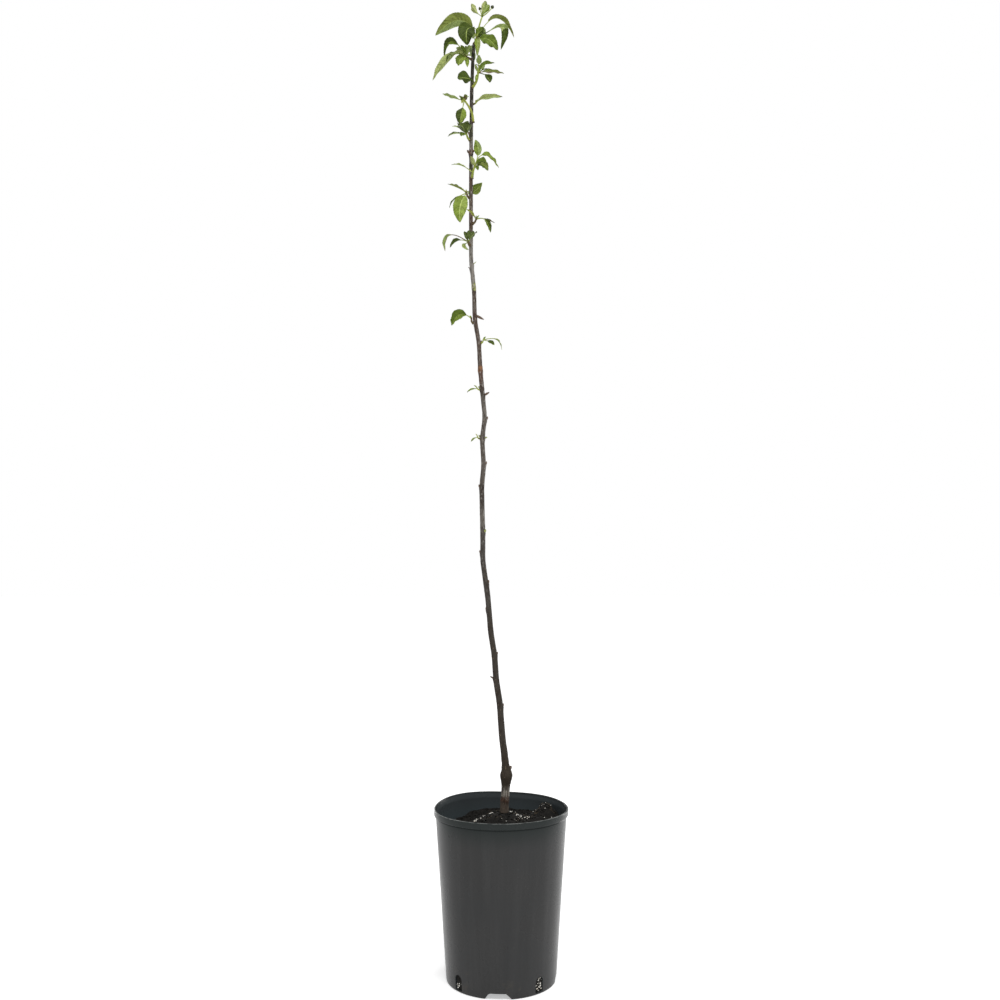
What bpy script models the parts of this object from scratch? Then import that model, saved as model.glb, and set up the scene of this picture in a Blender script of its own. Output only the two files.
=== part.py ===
# Young apple tree in a tall nursery pot: pot, soil, trunk and its tufts of leaves.
# Metres, +Z up, the origin at the middle of the pot's flat underside, the viewer on the -Y side.
import math
import random

import bmesh
import bpy
from mathutils import Vector

MM = 0.001
CLEAR = 0.3 * MM                # left free between two pieces that touch

# Pot
POT_HEIGHT = 230 * MM
FOOT_RADIUS = 74.2 * MM
FOOT_ROUND = 1.5 * MM
SHOULDER_RADIUS = 87.2 * MM     # body just under the groove
SHOULDER_HEIGHT = 219.5 * MM
GROOVE_DEPTH = 0.9 * MM
LIP_RADIUS = 90 * MM
LIP_HEIGHT = 8 * MM
LIP_ROUND = 2 * MM
LIP_WALL = 2.6 * MM             # across the flat top of the lip
LIP_EASE = 0.7 * MM             # bevel on its inner edge
LIP_DRAFT = 0.3 * MM            # how much narrower it is at its foot
WALL = 1.6 * MM
FLOOR = 1.8 * MM
POT_SIDES = 48
RIM_BENDS = ((-128, -4), (0, 1), (125, 2.2))    # (side in degrees, rise in millimetres) of the bent rim

# Drain channels under the floor and drain slots in the wall
CHANNEL_TOP = 21.5 * MM
CHANNEL_FOOT = 36 * MM
CHANNEL_HEIGHT = 7.6 * MM
CHANNEL_START = 27 * MM
COVER = 1.6 * MM
SLOT_WIDTH = 12.5 * MM
SLOT_FOOT = 2.2 * MM
SLOT_TOP = 22.5 * MM
QUARTERS = 4
REACH = 9 * MM                  # how far a cutter runs past the foot's radius
CORE_TOP = 60 * MM              # height of the room that the channel covers are trimmed to

# Soil
PAD_HEIGHT = 222.4 * MM
PAD_RADIUS = 10 * MM            # flat under the stem, easing into the soil over the next stretch
PAD_EASE = 8 * MM
SOIL_EDGE = 207 * MM            # level at the wall before the humps
SOIL_RINGS = (10, 18, 30, 43, 56, 70)
SOIL_LUMPS = 0.9 * MM
# (side in degrees, distance out, height, spread), the last three in millimetres
SOIL_HUMPS = ((0, 0, 16, 30), (52, 66, 17, 13), (180, 70, -8, 24), (20, 48, 4, 12), (-110, 50, 4, 18))

# Stem: height above the pot's foot, then how far it leans across and away, all in millimetres
STEM_LEAN = ((222.7, 4, 0), (228, 4, 0), (270, 7, 1), (300, 4.9, 1), (322, 1.5, 0), (369, -1.7, -2),
             (401, -6.8, -3), (434, -8.9, -3), (466, -14, -3), (515, -18.1, -3), (563, -25, -2),
             (596, -24.7, 0), (661, -26.4, 1), (693, -23.6, 2), (727, -26, 2), (757, -22, 3),
             (792, -25.7, 3), (823, -28.4, 3), (859, -30.3, 2), (889, -35.8, 0), (928, -36.6, 0),
             (969, -40.8, -1), (1100, -40.9, -1), (1196, -39.9, 0), (1244, -38.2, 0), (1260, -36.6, 0))
# Height above the soil and girth as a diameter, both in millimetres
STEM_GIRTH = ((0, 15), (9, 12.4), (30, 12), (39, 13.2), (46, 16.8), (53, 15.6), (61, 12.4), (70, 10.2),
              (97, 9.1), (162, 8.3), (245, 7.7), (325, 7.0), (485, 6.4), (590, 6.0),
              (597, 7.2), (604, 6.0), (745, 5.5), (1037, 4.6))
STEM_STEP = 25 * MM
STEM_PLAIN = 110 * MM           # above this height over the soil the stem has a ring at each step
STEM_BEVEL = 3                  # ten sides
TWIG_BEVEL = 1                  # six sides
SURE = 0.08 * MM                # allowance for the flats of a many-sided tube

# Buds and stubs on the stem: height in millimetres, side in degrees, length and thickness, lift in degrees
BUDS = ((286, 5, 5, 5, 40), (366, 10, 4, 3.6, 50), (404, 178, 5, 2.4, 30), (436, 0, 3.6, 3.6, 50),
        (496, 190, 3.8, 3.8, 50), (532, -20, 3.6, 3.4, 60), (573, 170, 3.6, 3.6, 50),
        (601, -30, 3.8, 3.4, 55), (662, 195, 3.6, 3.6, 50), (693, 5, 3.4, 3.4, 60), (729, -5, 3.6, 2.6, 10),
        (754, 15, 4, 4, 45), (787, 0, 7, 3.2, 30), (857, 25, 4, 3.6, 60), (894, -5, 11, 3.6, -28),
        (927, -80, 3, 3, 20), (1113, 190, 4.4, 3.6, 30), (1115, -5, 3.2, 3.4, 20))

# Leaves
LEAF_THICK = 0.6 * MM
EDGE_THICK = 0.4 * MM
STALK_WIDE = 1.5 * MM
STALK_THICK = 1.3 * MM
TIP_WIDE = 0.8 * MM
COLLAR = 1.6 * MM               # how far a twig runs straight out of the stem
BUD_SHARE = 0.62                # radius of the bud at a twig's end as a share of the twig's thickness
SMALL_STEPS = 3
BLADE_STEPS = 5
CURLED_STEPS = 6
SMALL_WIDE = 6.5 * MM
SPACE = 1.5 * MM                # kept between the masses


# One leaf: where its tip lies from the end of its twig (across, away from the viewer, up), how high the
# midrib arches as a share of the straight distance, how far that arch is pushed to the tip, which way
# the arch is swung, the blade's width, the way its upper side faces (0 up, 90 at the viewer), how much
# it twists, the share that is stalk, and how far along the twig it stands. Millimetres and degrees.
def leaf(across, away, up, arch=0.1, lead=0.1, swing=0, wide=10, face=0, twist=0, stalk=0.2, at=1.0):
    return {"tip": Vector((across, away, up)) * MM, "arch": arch, "lead": lead, "swing": swing,
            "wide": wide * MM, "face": face, "twist": twist, "stalk": stalk, "at": at}


# One twig: its end from where it starts, its bow, its thickness, its leaves
def twig(across, away, up, bow, thick, leaves):
    return {"end": Vector((across, away, up)) * MM, "bow": bow, "thick": thick * MM, "leaves": leaves}


# One tuft: the height on the stem and the side it grows from; the later twigs start at the first one's end
def tuft(name, height, side, far, seed, twigs):
    return {"name": name, "height": height * MM, "side": math.radians(side), "far": far, "seed": seed,
            "twigs": twigs}


TUFTS = (
    tuft("tuft_01", 728, 190, 0, 1, [twig(-6, -1, 2, 0, 2.2, [
        leaf(-9, 2, -6, wide=4, face=40, stalk=0.15)])]),
    tuft("tuft_02", 794, 190, 0, 2, [twig(-6.5, -1, 2, 0, 2.2, [
        leaf(-14, 3, -5, 0.08, wide=5, face=35, stalk=0.1)])]),
    tuft("tuft_03", 857, -20, 0, 3, [twig(6, -2, 4, 0, 2.4, [
        leaf(15, -6, -8, 0.1, wide=6, face=60, stalk=0.3),
        leaf(25, 6, -12, 0.32, wide=6, face=14, stalk=0.3)])]),
    tuft("tuft_04", 884, 190, 0, 4, [twig(-5.4, -1, 6, 0, 3, [
        leaf(-27, 8, -8, 0.36, -0.05, wide=15, face=85, stalk=0.2)])]),
    tuft("tuft_05", 989, -130, 0, 5, [twig(-3.4, -7, 2, 0, 3.4, [
        leaf(10, -20, 6, 0.12, wide=15, face=0, stalk=0.15),
        leaf(-5, -12, 11, 0.05, wide=8, face=0, stalk=0.15),
        leaf(1, -6, -12, 0.5, swing=-90, wide=6, face=60, stalk=0.15),
        leaf(-25, -6, -10, 0.15, -0.2, wide=8, face=45, stalk=0.35),
        leaf(-34, 14, -8, 0.46, 0.16, wide=8, face=-12, stalk=0.35)])]),
    tuft("tuft_06", 1018, -15, 0, 6, [twig(7, -2, 5, 0, 3.4, [
        leaf(26, 12, -2, 0.1, wide=8, face=30, stalk=0.45),
        leaf(19, -8, -20, 0.24, wide=9, face=60, stalk=0.35),
        leaf(-13, -12, 10, 0.1, wide=5, face=0, stalk=0.1)])]),
    tuft("tuft_07", 1053, 205, 1, 7, [twig(-6, -3, 5, 0, 3.4, [
        leaf(-8, -12, -43, 0.15, wide=20, face=90, stalk=0.1),
        leaf(-25, 14, 16, 0.09, wide=10, face=-5, stalk=0.25),
        leaf(21, 16, 20, 0.3, swing=118, wide=15, face=90, stalk=0.3),
        leaf(-23, 2, -19, 0.15, wide=6, face=26, stalk=0.25)])]),
    tuft("tuft_08", 1079, -60, 0, 8, [twig(5, -7, 13, 0.1, 3.6, [
        leaf(-5, -5, 13, 0.05, wide=5, face=-80, stalk=0.1),
        leaf(1, -4, 35, 0.12, swing=90, wide=13, face=-90, stalk=0.38),
        leaf(33, 10, 1, 0.43, wide=12, face=40, stalk=0.35),
        leaf(16, -8, 3, 0.25, wide=13, face=60, stalk=0.15),
        leaf(18, 6, -3, 0.3, wide=12, face=70, stalk=0.15),
        leaf(5, -10, -8, 0.1, wide=6, face=60, stalk=0.15),
        leaf(-29, 1, 11, 0.12, wide=5, face=22, stalk=0.3, at=0.6)])]),
    tuft("tuft_09", 1131, 215, 0, 9, [twig(-6, -6, 5, 0, 3.2, [
        leaf(-10, -16, 8, 0.15, wide=19, face=0, stalk=0.1),
        leaf(4, -14, 8, 0.1, wide=12, face=0, stalk=0.1),
        leaf(-20, 12, 16, 0.1, wide=7, face=30, stalk=0.3),
        leaf(-25, -4, -4, 0.12, wide=7, face=30, stalk=0.2),
        leaf(-7, -10, -6, 0.2, wide=8, face=60, stalk=0.15)])]),
    tuft("tuft_10", 1155, -30, 1, 10, [twig(-9, -9, 26, 0.08, 3.4, [
        leaf(-30, 12, 14, -0.03, wide=10, face=-10, stalk=0.18),
        leaf(-6, -5, -34, 0.02, wide=15, face=80, stalk=0.27),
        leaf(2, -3, 4, 0, wide=5, face=-60, stalk=0.1),
        leaf(-5, -2, 3, 0, wide=5, face=-60, stalk=0.1)])]),
    tuft("tuft_11", 1180, 0, 0, 11, [twig(6, 0, 2, 0, 2.6, [
        leaf(37, 12, 8.5, 0.11, -0.05, wide=10, face=-25, stalk=0.08)])]),
    tuft("tuft_12", 1201, -70, 2, 12, [twig(8.6, -7, 18, -0.1, 3.6, [
        leaf(36, 14, 3, 0.06, wide=12, face=-8, stalk=0.22),
        leaf(15, -10, -19, 0.2, wide=12, face=70, stalk=0.3),
        leaf(26, -12, 9, 0.12, wide=11, face=10, stalk=0.1),
        leaf(1, -3, 23, -0.1, wide=9, face=-80, stalk=0.4),
        leaf(-23, -14, -1, 0.1, wide=24, face=60, stalk=0.1, at=0.45),
        leaf(-3, -6, -14, 0.05, wide=4, face=80, stalk=0.15),
        leaf(16, 2, 5, 0.15, wide=4, face=40, stalk=0.2),
        leaf(-4, -2, 11, 0, wide=4, face=-80, stalk=0.1)])]),
    tuft("tuft_13", 1240, 205, 2, 13, [twig(-9, -5, 2, 0, 3.2, [
        leaf(-44, -12, -39, 0.13, 0, wide=11, face=-40, stalk=0.38),
        leaf(-31, 16, 5, 0.64, 0.34, wide=12, face=95, twist=-50, stalk=0.25),
        leaf(-13, -8, 8, 0.08, wide=8, face=-60, stalk=0.1),
        leaf(-26, -9, -11, 0.25, wide=7, face=26, stalk=0.2),
        leaf(-10, -12, -18, 0.15, wide=13, face=80, stalk=0.1),
        leaf(2, -6, -17, 0.08, wide=6, face=80, stalk=0.1),
        leaf(1, -3, 13, 0.05, wide=4, face=-80, stalk=0.1),
        leaf(5, -6, 13, 0.05, wide=6, face=-80, stalk=0.1)])]),
    tuft("tuft_14", 1260, 90, 3, 14, [twig(3.6, -3, 6, 0, 3.8, [
        leaf(-56, 8, 8, 0.4, 0.0, wide=22, face=-50, stalk=0.1),
        leaf(11, -6, 11, 0.1, wide=12, face=60, stalk=0.1),
        leaf(34, -10, -19, 0.62, 0.42, wide=11, face=60, twist=-30, stalk=0.22),
        leaf(51, 16, 9, 0.46, 0.12, wide=12, face=0, stalk=0.28),
        leaf(23, -16, -28, 0.18, wide=21, face=85, stalk=0.12),
        leaf(1, -14, -30, 0.3, wide=8, face=85, stalk=0.15)]),
        twig(7.4, -1, 30, 0.03, 2.6, [
            leaf(-13, 5, 22, -0.1, wide=7, face=-60, stalk=0.3),
            leaf(4, -4, 19, 0.05, wide=9, face=-80, stalk=0.1),
            leaf(15, -4, 13, -0.08, wide=7, face=-60, stalk=0.3),
            leaf(-4, 2, 12, 0, wide=4, face=-60, stalk=0.1),
            leaf(-14, -18, -31, 0.35, wide=25, face=75, stalk=0.15, at=0.4)])]),
)

# Far-side leaves that each tuft adds by its seeded rule: headings in degrees, reach and width in millimetres
FAR_HEADING = (62, 118)
FAR_REACH = (24, 36)
FAR_LIFT = (10, 34)
FAR_WIDE = (11, 15)

MATERIALS = {
    "pot_plastic": ((0.055, 0.056, 0.056), 0.42),
    "potting_soil": ((0.022, 0.017, 0.013), 0.95),
    "bark": ((0.092, 0.078, 0.067), 0.75),
    "leaf_green": ((0.150, 0.220, 0.060), 0.55),
}


def clearScene():
    for item in list(bpy.data.objects):
        bpy.data.objects.remove(item, do_unlink=True)
    for block in list(bpy.data.collections):
        bpy.data.collections.remove(block)


def makeMaterials():
    made = {}
    for name, (colour, rough) in MATERIALS.items():
        material = bpy.data.materials.new(name)
        material.use_nodes = True
        shader = material.node_tree.nodes["Principled BSDF"]
        shader.inputs["Base Color"].default_value = (*colour, 1)
        shader.inputs["Roughness"].default_value = rough
        shader.inputs["Metallic"].default_value = 0
        made[name] = material
    return made


def addCollection(name):
    made = bpy.data.collections.new(name)
    bpy.context.scene.collection.children.link(made)
    return made


def addObject(name, mesh, home):
    made = bpy.data.objects.new(name, mesh)
    home.objects.link(made)
    return made


# The evaluated shape of an object as an object of its own, loose doubles welded, the first one removed
def settled(thing, weld=0.0):
    home = thing.users_collection[0]
    name = thing.name
    bpy.context.view_layer.update()
    evaluated = thing.evaluated_get(bpy.context.evaluated_depsgraph_get())
    mesh = bpy.data.meshes.new_from_object(evaluated)
    place = thing.matrix_world.copy()
    bpy.data.objects.remove(thing, do_unlink=True)
    if weld:
        bm = bmesh.new()
        bm.from_mesh(mesh)
        bmesh.ops.remove_doubles(bm, verts=bm.verts, dist=weld)
        bm.to_mesh(mesh)
        bm.free()
    mesh.name = name
    made = addObject(name, mesh, home)
    made.matrix_world = place
    return made


def smooth(thing):
    for face in thing.data.polygons:
        face.use_smooth = True


# A closed profile of (radius, height) pairs turned about the pot's axis
def turned(name, profile, home):
    mesh = bpy.data.meshes.new(name)
    mesh.from_pydata([(r, 0, z) for r, z in profile], [(k, k + 1) for k in range(len(profile) - 1)], [])
    made = addObject(name, mesh, home)
    screw = made.modifiers.new("turn", "SCREW")
    screw.steps = POT_SIDES
    screw.render_steps = POT_SIDES
    screw.use_merge_vertices = True
    screw.merge_threshold = 0.00001
    return settled(made)


# A round tube through points, each with its own radius
def tube(name, points, radii, bevel, home):
    curve = bpy.data.curves.new(name, "CURVE")
    curve.dimensions = "3D"
    curve.bevel_depth = MM
    curve.bevel_resolution = bevel
    curve.use_fill_caps = True
    spline = curve.splines.new("POLY")
    spline.points.add(len(points) - 1)
    for spot, point, radius in zip(spline.points, points, radii):
        spot.co = (*point, 1)
        spot.radius = radius / MM
    return settled(addObject(name, curve, home), weld=0.00001)


# A cutter: a flat outline of (across, up) pairs pushed out from start to stop along +X, turned to a side
def prism(name, outline, start, stop, side, home):
    bm = bmesh.new()
    near = [bm.verts.new((start, y, z)) for y, z in outline]
    face = bm.faces.new(near)
    pushed = bmesh.ops.extrude_face_region(bm, geom=[face])
    far = [item for item in pushed["geom"] if isinstance(item, bmesh.types.BMVert)]
    bmesh.ops.translate(bm, verts=far, vec=(stop - start, 0, 0))
    bmesh.ops.recalc_face_normals(bm, faces=bm.faces)
    mesh = bpy.data.meshes.new(name)
    bm.to_mesh(mesh)
    bm.free()
    made = addObject(name, mesh, home)
    made.rotation_euler.z = side
    made.hide_render = True
    made.display_type = "WIRE"
    return made


def ball(name, centre, radius, stretch, home):
    bm = bmesh.new()
    bmesh.ops.create_uvsphere(bm, u_segments=6, v_segments=4, radius=radius)
    bmesh.ops.scale(bm, verts=bm.verts, vec=(1, 1, stretch))
    mesh = bpy.data.meshes.new(name)
    bm.to_mesh(mesh)
    bm.free()
    made = addObject(name, mesh, home)
    made.location = centre
    return made


# Joins or cuts a body with everything in a collection, then removes that collection's objects
def combine(body, tools, operation, solver="EXACT"):
    joint = body.modifiers.new(operation.lower(), "BOOLEAN")
    joint.operand_type = "COLLECTION"
    joint.collection = tools
    joint.operation = operation
    joint.solver = solver
    body = settled(body)
    for item in list(tools.objects):
        bpy.data.objects.remove(item, do_unlink=True)
    bpy.data.collections.remove(tools)
    return body


# Keeps the one outer shell: fills hollows that fusing has sealed and drops loose scraps
def keepShell(thing):
    bm = bmesh.new()
    bm.from_mesh(thing.data)
    bmesh.ops.remove_doubles(bm, verts=bm.verts, dist=0.000002)
    bmesh.ops.dissolve_degenerate(bm, edges=bm.edges, dist=0.000002)
    left = set(bm.faces)
    shells = []
    while left:
        shell = {left.pop()}
        edge = list(shell)
        while edge:
            face = edge.pop()
            for side in face.edges:
                for other in side.link_faces:
                    if other in left:
                        left.remove(other)
                        shell.add(other)
                        edge.append(other)
        shells.append(shell)
    shells.sort(key=len, reverse=True)
    scrap = [face for shell in shells[1:] for face in shell]
    bmesh.ops.delete(bm, geom=scrap, context="FACES")
    loose = [vert for vert in bm.verts if not vert.link_faces]
    bmesh.ops.delete(bm, geom=loose, context="VERTS")
    bmesh.ops.triangulate(bm, faces=bm.faces)
    bm.to_mesh(thing.data)
    bm.free()


# How far the rim sags or rises at a point of the pot or the soil
def rimShift(x, y, z):
    share = max(0.0, min(1.0, z / POT_HEIGHT))
    side = math.atan2(y, x)
    bend = sum(rise * MM * max(0.0, math.cos(side - math.radians(at))) ** 2 for at, rise in RIM_BENDS)
    return share ** 3 * bend * min(1.0, math.hypot(x, y) / LIP_RADIUS)


def sagRim(thing):
    for vert in thing.data.vertices:
        vert.co.z += rimShift(*vert.co)


def bodyRadius(z):
    return FOOT_RADIUS + (SHOULDER_RADIUS - FOOT_RADIUS) * z / SHOULDER_HEIGHT


# A channel's cross-section, grown on every side but its foot
def channelOutline(grow):
    top = CHANNEL_TOP / 2 + grow
    foot = CHANNEL_FOOT / 2 + grow
    return [(-foot, -grow - MM), (foot, -grow - MM), (foot, 0), (top, CHANNEL_HEIGHT + grow),
            (-top, CHANNEL_HEIGHT + grow), (-foot, 0)]


def channelSet(name, grow, start, stop):
    tools = addCollection(name)
    for k in range(QUARTERS):
        outline = channelOutline(grow)
        prism(f"{name}_{k}", outline, start, stop, k * math.tau / QUARTERS, tools)
    return tools


def makePot(home):
    lipFoot = POT_HEIGHT - LIP_HEIGHT
    inside = SHOULDER_RADIUS - WALL
    groove = SHOULDER_RADIUS - GROOVE_DEPTH
    profile = [(0, FLOOR), (bodyRadius(FLOOR) - WALL, FLOOR), (inside, SHOULDER_HEIGHT), (inside, lipFoot)]
    profile += [(LIP_RADIUS - LIP_WALL - LIP_EASE, POT_HEIGHT - LIP_EASE)]
    profile += [(LIP_RADIUS - LIP_WALL, POT_HEIGHT), (LIP_RADIUS - LIP_ROUND, POT_HEIGHT)]
    profile += [(LIP_RADIUS - LIP_ROUND * 0.3, POT_HEIGHT - LIP_ROUND * 0.35)]
    profile += [(LIP_RADIUS, POT_HEIGHT - LIP_ROUND), (LIP_RADIUS - LIP_DRAFT, lipFoot + MM)]
    profile += [(LIP_RADIUS - LIP_DRAFT - MM, lipFoot), (groove, lipFoot)]
    profile += [(groove, SHOULDER_HEIGHT + MM), (SHOULDER_RADIUS, SHOULDER_HEIGHT)]
    profile += [(bodyRadius(FOOT_ROUND), FOOT_ROUND), (FOOT_RADIUS - FOOT_ROUND, 0), (0, 0)]
    pot = turned("pot", profile, home)

    covers = channelSet("cover", COVER, CHANNEL_START - COVER, FOOT_RADIUS + REACH)
    core = addCollection("core")
    turned("core_inside", [(0, CORE_TOP), (bodyRadius(CORE_TOP) - WALL / 2, CORE_TOP),
                           (FOOT_RADIUS - WALL / 2, FLOOR / 2), (0, FLOOR / 2)], core)
    trimmed = addCollection("trimmed")
    for cover in list(covers.objects):
        covers.objects.unlink(cover)
        trimmed.objects.link(cover)
        cut = cover.modifiers.new("trim", "BOOLEAN")
        cut.operation = "INTERSECT"
        cut.object = core.objects[0]
        settled(cover)
    bpy.data.collections.remove(covers)
    pot = combine(pot, trimmed, "UNION")
    for item in list(core.objects):
        bpy.data.objects.remove(item, do_unlink=True)
    bpy.data.collections.remove(core)

    pot = combine(pot, channelSet("channel", 0, CHANNEL_START, FOOT_RADIUS + REACH), "DIFFERENCE")
    slots = addCollection("slots")
    half = SLOT_WIDTH / 2
    arch = [(half * math.cos(a), SLOT_TOP - half + half * math.sin(a))
            for a in [math.pi * k / 8 for k in range(9)]]
    outline = [(half, SLOT_FOOT)] + arch + [(-half, SLOT_FOOT)]
    for k in range(QUARTERS):
        side = (k + 0.5) * math.tau / QUARTERS
        prism(f"slot_{k}", outline, FOOT_RADIUS - REACH, FOOT_RADIUS + REACH, side, slots)
    pot = combine(pot, slots, "DIFFERENCE")
    sagRim(pot)
    smooth(pot)
    return pot


def soilHeight(x, y):
    z = SOIL_EDGE
    for side, out, height, spread in SOIL_HUMPS:
        turn = math.radians(side)
        gap = math.hypot(x - out * MM * math.cos(turn), y - out * MM * math.sin(turn)) / (spread * MM)
        z += height * MM * math.exp(-gap * gap)
    lumps = math.sin(x * 190) * math.cos(y * 230) + math.sin(x * 90 + y * 310 + 1)
    return z + SOIL_LUMPS * lumps


def makeSoil(stemFoot, home):
    foot = FLOOR + CLEAR
    edge = bodyRadius(SOIL_EDGE) - WALL - CLEAR
    profile = [(0, PAD_HEIGHT)] + [(r * MM, PAD_HEIGHT) for r in SOIL_RINGS]
    profile += [(edge, PAD_HEIGHT), (bodyRadius(foot) - WALL - CLEAR, foot), (0, foot)]
    soil = turned("soil", profile, home)
    for vert in soil.data.vertices:
        x, y, z = vert.co
        if z < PAD_HEIGHT - MM:
            continue
        level = soilHeight(x, y) + rimShift(x, y, SOIL_EDGE)
        fromStem = math.hypot(x - stemFoot.x, y - stemFoot.y)
        share = max(0.0, min(1.0, (fromStem - PAD_RADIUS) / PAD_EASE))
        vert.co.z = PAD_HEIGHT + share * (level - PAD_HEIGHT)
        out = math.hypot(x, y)
        if out > SOIL_RINGS[-1] * MM + CLEAR:
            inner = bodyRadius(vert.co.z) - WALL - CLEAR
            vert.co.x *= inner / out
            vert.co.y *= inner / out
    room = COVER + CLEAR
    soil = combine(soil, channelSet("room", room, CHANNEL_START - room, FOOT_RADIUS + REACH), "DIFFERENCE")
    smooth(soil)
    return soil


def between(table, at):
    for low, high in zip(table, table[1:]):
        if at <= high[0]:
            share = max(0.0, (at - low[0]) / (high[0] - low[0]))
            return [a + (b - a) * share for a, b in zip(low[1:], high[1:])]
    return list(table[-1][1:])


def stemCentre(z):
    across, away = between(STEM_LEAN, z / MM)
    return Vector((across * MM, away * MM, z))


def stemRadius(z):
    return between(STEM_GIRTH, z / MM - STEM_LEAN[0][0])[0] * MM / 2


def budTube(name, height, side, length, thick, lift, home):
    out = Vector((math.cos(side), math.sin(side), 0))
    rise = Vector((0, 0, 1))
    start = stemCentre(height) + out * stemRadius(height) * 0.3
    aim = out * math.cos(lift) + rise * math.sin(lift)
    root = start + out * stemRadius(height) * 0.5
    points = [start, root + aim * length * 0.5, root + aim * length]
    tube(name, points, [thick * 0.5, thick * 0.46, thick * 0.16], TWIG_BEVEL, home)


def makeTrunk(home):
    foot = STEM_LEAN[0][0] * MM
    top = STEM_LEAN[-1][0] * MM
    heights = {round(row[0] * MM, 5) for row in STEM_LEAN}
    heights |= {round(foot + row[0] * MM, 5) for row in STEM_GIRTH}
    z = foot + STEM_PLAIN
    while z < top:
        if min(abs(z - other) for other in heights) > STEM_STEP / 2:
            heights.add(z)
        z += STEM_STEP
    heights = sorted(height for height in heights if height <= top)
    radii = [stemRadius(z) for z in heights]
    trunk = tube("trunk", [stemCentre(z) for z in heights], radii, STEM_BEVEL, home)
    buds = addCollection("buds")
    for k, (height, side, length, thick, lift) in enumerate(BUDS):
        budTube(f"bud_{k:02d}", height * MM, math.radians(side), length * MM, thick * MM,
                math.radians(lift), buds)
    trunk = combine(trunk, buds, "UNION")
    keepShell(trunk)
    smooth(trunk)
    return trunk


def curvePoint(start, hump, stop, t):
    return start * (1 - t) ** 2 + hump * 2 * t * (1 - t) + stop * t * t


def curveSlope(start, hump, stop, t):
    return ((hump - start) * (1 - t) + (stop - hump) * t).normalized()


# Where the midrib's control point lies for a leaf or a twig
def humpOf(start, stop, arch, lead, swing):
    chord = stop - start
    along = chord.normalized()
    flat = Vector((chord.x, chord.y, 0))
    side = Vector((-flat.y, flat.x, 0)).normalized() if flat.length > 0.0001 else Vector((0, 1, 0))
    lean = along.cross(side)
    turn = math.radians(swing)
    aside = lean * math.cos(turn) + side * math.sin(turn)
    return (start + stop) / 2 + chord * lead + aside * (2 * arch * chord.length)


def bladeShare(u):
    return math.sin(math.pi * u ** 0.85) ** 0.8 if 0 < u < 1 else 0.0


# Stations along a leaf: centre, sideways direction, upper-side direction, half width, fold
def leafStations(root, stop, row, fold):
    hump = humpOf(root, stop, row["arch"], row["lead"], row["swing"])
    steps = SMALL_STEPS if row["wide"] < SMALL_WIDE else BLADE_STEPS
    if abs(row["arch"]) > 0.4:
        steps = CURLED_STEPS
    spots = [0.0, row["stalk"]] + [row["stalk"] + (1 - row["stalk"]) * (k + 1) / steps for k in range(steps)]
    face = math.radians(row["face"])
    wanted = Vector((0, -math.sin(face), math.cos(face)))
    middle = len(spots) // 2
    uppers = [None] * len(spots)
    slopes = [curveSlope(root, hump, stop, t) for t in spots]
    uppers[middle] = (wanted - slopes[middle] * wanted.dot(slopes[middle])).normalized()
    for order in (range(middle + 1, len(spots)), range(middle - 1, -1, -1)):
        last = uppers[middle]
        for k in order:
            last = (last - slopes[k] * last.dot(slopes[k])).normalized()
            uppers[k] = last
    stations = []
    for t, slope, upper in zip(spots, slopes, uppers):
        u = (t - row["stalk"]) / (1 - row["stalk"])
        turn = math.radians(row["twist"]) * max(0.0, u)
        side = upper.cross(slope)
        turned_upper = upper * math.cos(turn) + side * math.sin(turn)
        half = row["wide"] / 2 * bladeShare(u)
        least = STALK_WIDE / 2 if u <= 0 else TIP_WIDE / 2
        bend = fold if half > least else 0.0
        stations.append((curvePoint(root, hump, stop, t), turned_upper.cross(slope), turned_upper,
                         max(half, least), bend, u <= 0))
    return stations


# A thin closed leaf: six corners a station, lofted and capped
def leafSolid(name, stations, home):
    bm = bmesh.new()
    rings = []
    for centre, side, upper, half, fold, stalk in stations:
        thick = (STALK_THICK if stalk else LEAF_THICK) / 2
        edge = (STALK_THICK * 0.6 if stalk else EDGE_THICK) / 2
        ring = []
        for across, layer in ((-1, edge), (0, thick), (1, edge), (1, -edge), (0, -thick), (-1, -edge)):
            spread = side * (across * half * math.cos(fold))
            rise = upper * (abs(across) * half * math.sin(fold) + layer)
            ring.append(bm.verts.new(centre + spread + rise))
        rings.append(ring)
    count = len(rings[0])
    for low, high in zip(rings, rings[1:]):
        for k in range(count):
            bm.faces.new((low[k], low[(k + 1) % count], high[(k + 1) % count], high[k]))
    bm.faces.new(rings[0])
    bm.faces.new(rings[-1])
    bmesh.ops.triangulate(bm, faces=bm.faces)
    bmesh.ops.recalc_face_normals(bm, faces=bm.faces)
    mesh = bpy.data.meshes.new(name)
    bm.to_mesh(mesh)
    bm.free()
    return addObject(name, mesh, home)


# Points on a leaf's midrib and edges, which must stay clear of the stem and of the other masses
def outlinePoints(stations):
    points = []
    for centre, side, upper, half, fold, stalk in stations[1:]:
        for across in (-1, -0.5, 0, 0.5, 1):
            spread = side * (across * half * math.cos(fold))
            points.append(centre + spread + upper * (abs(across) * half * math.sin(fold)))
    return points


def clearOfStem(points):
    for point in points:
        if point.z > STEM_LEAN[-1][0] * MM + 2 * MM:
            continue
        if (point - stemCentre(point.z)).length < stemRadius(point.z) + CLEAR + LEAF_THICK:
            return False
    return True


def clearOfMasses(points, masses):
    return all((point - other).length > SPACE for mass in masses for other in mass for point in points)


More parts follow.
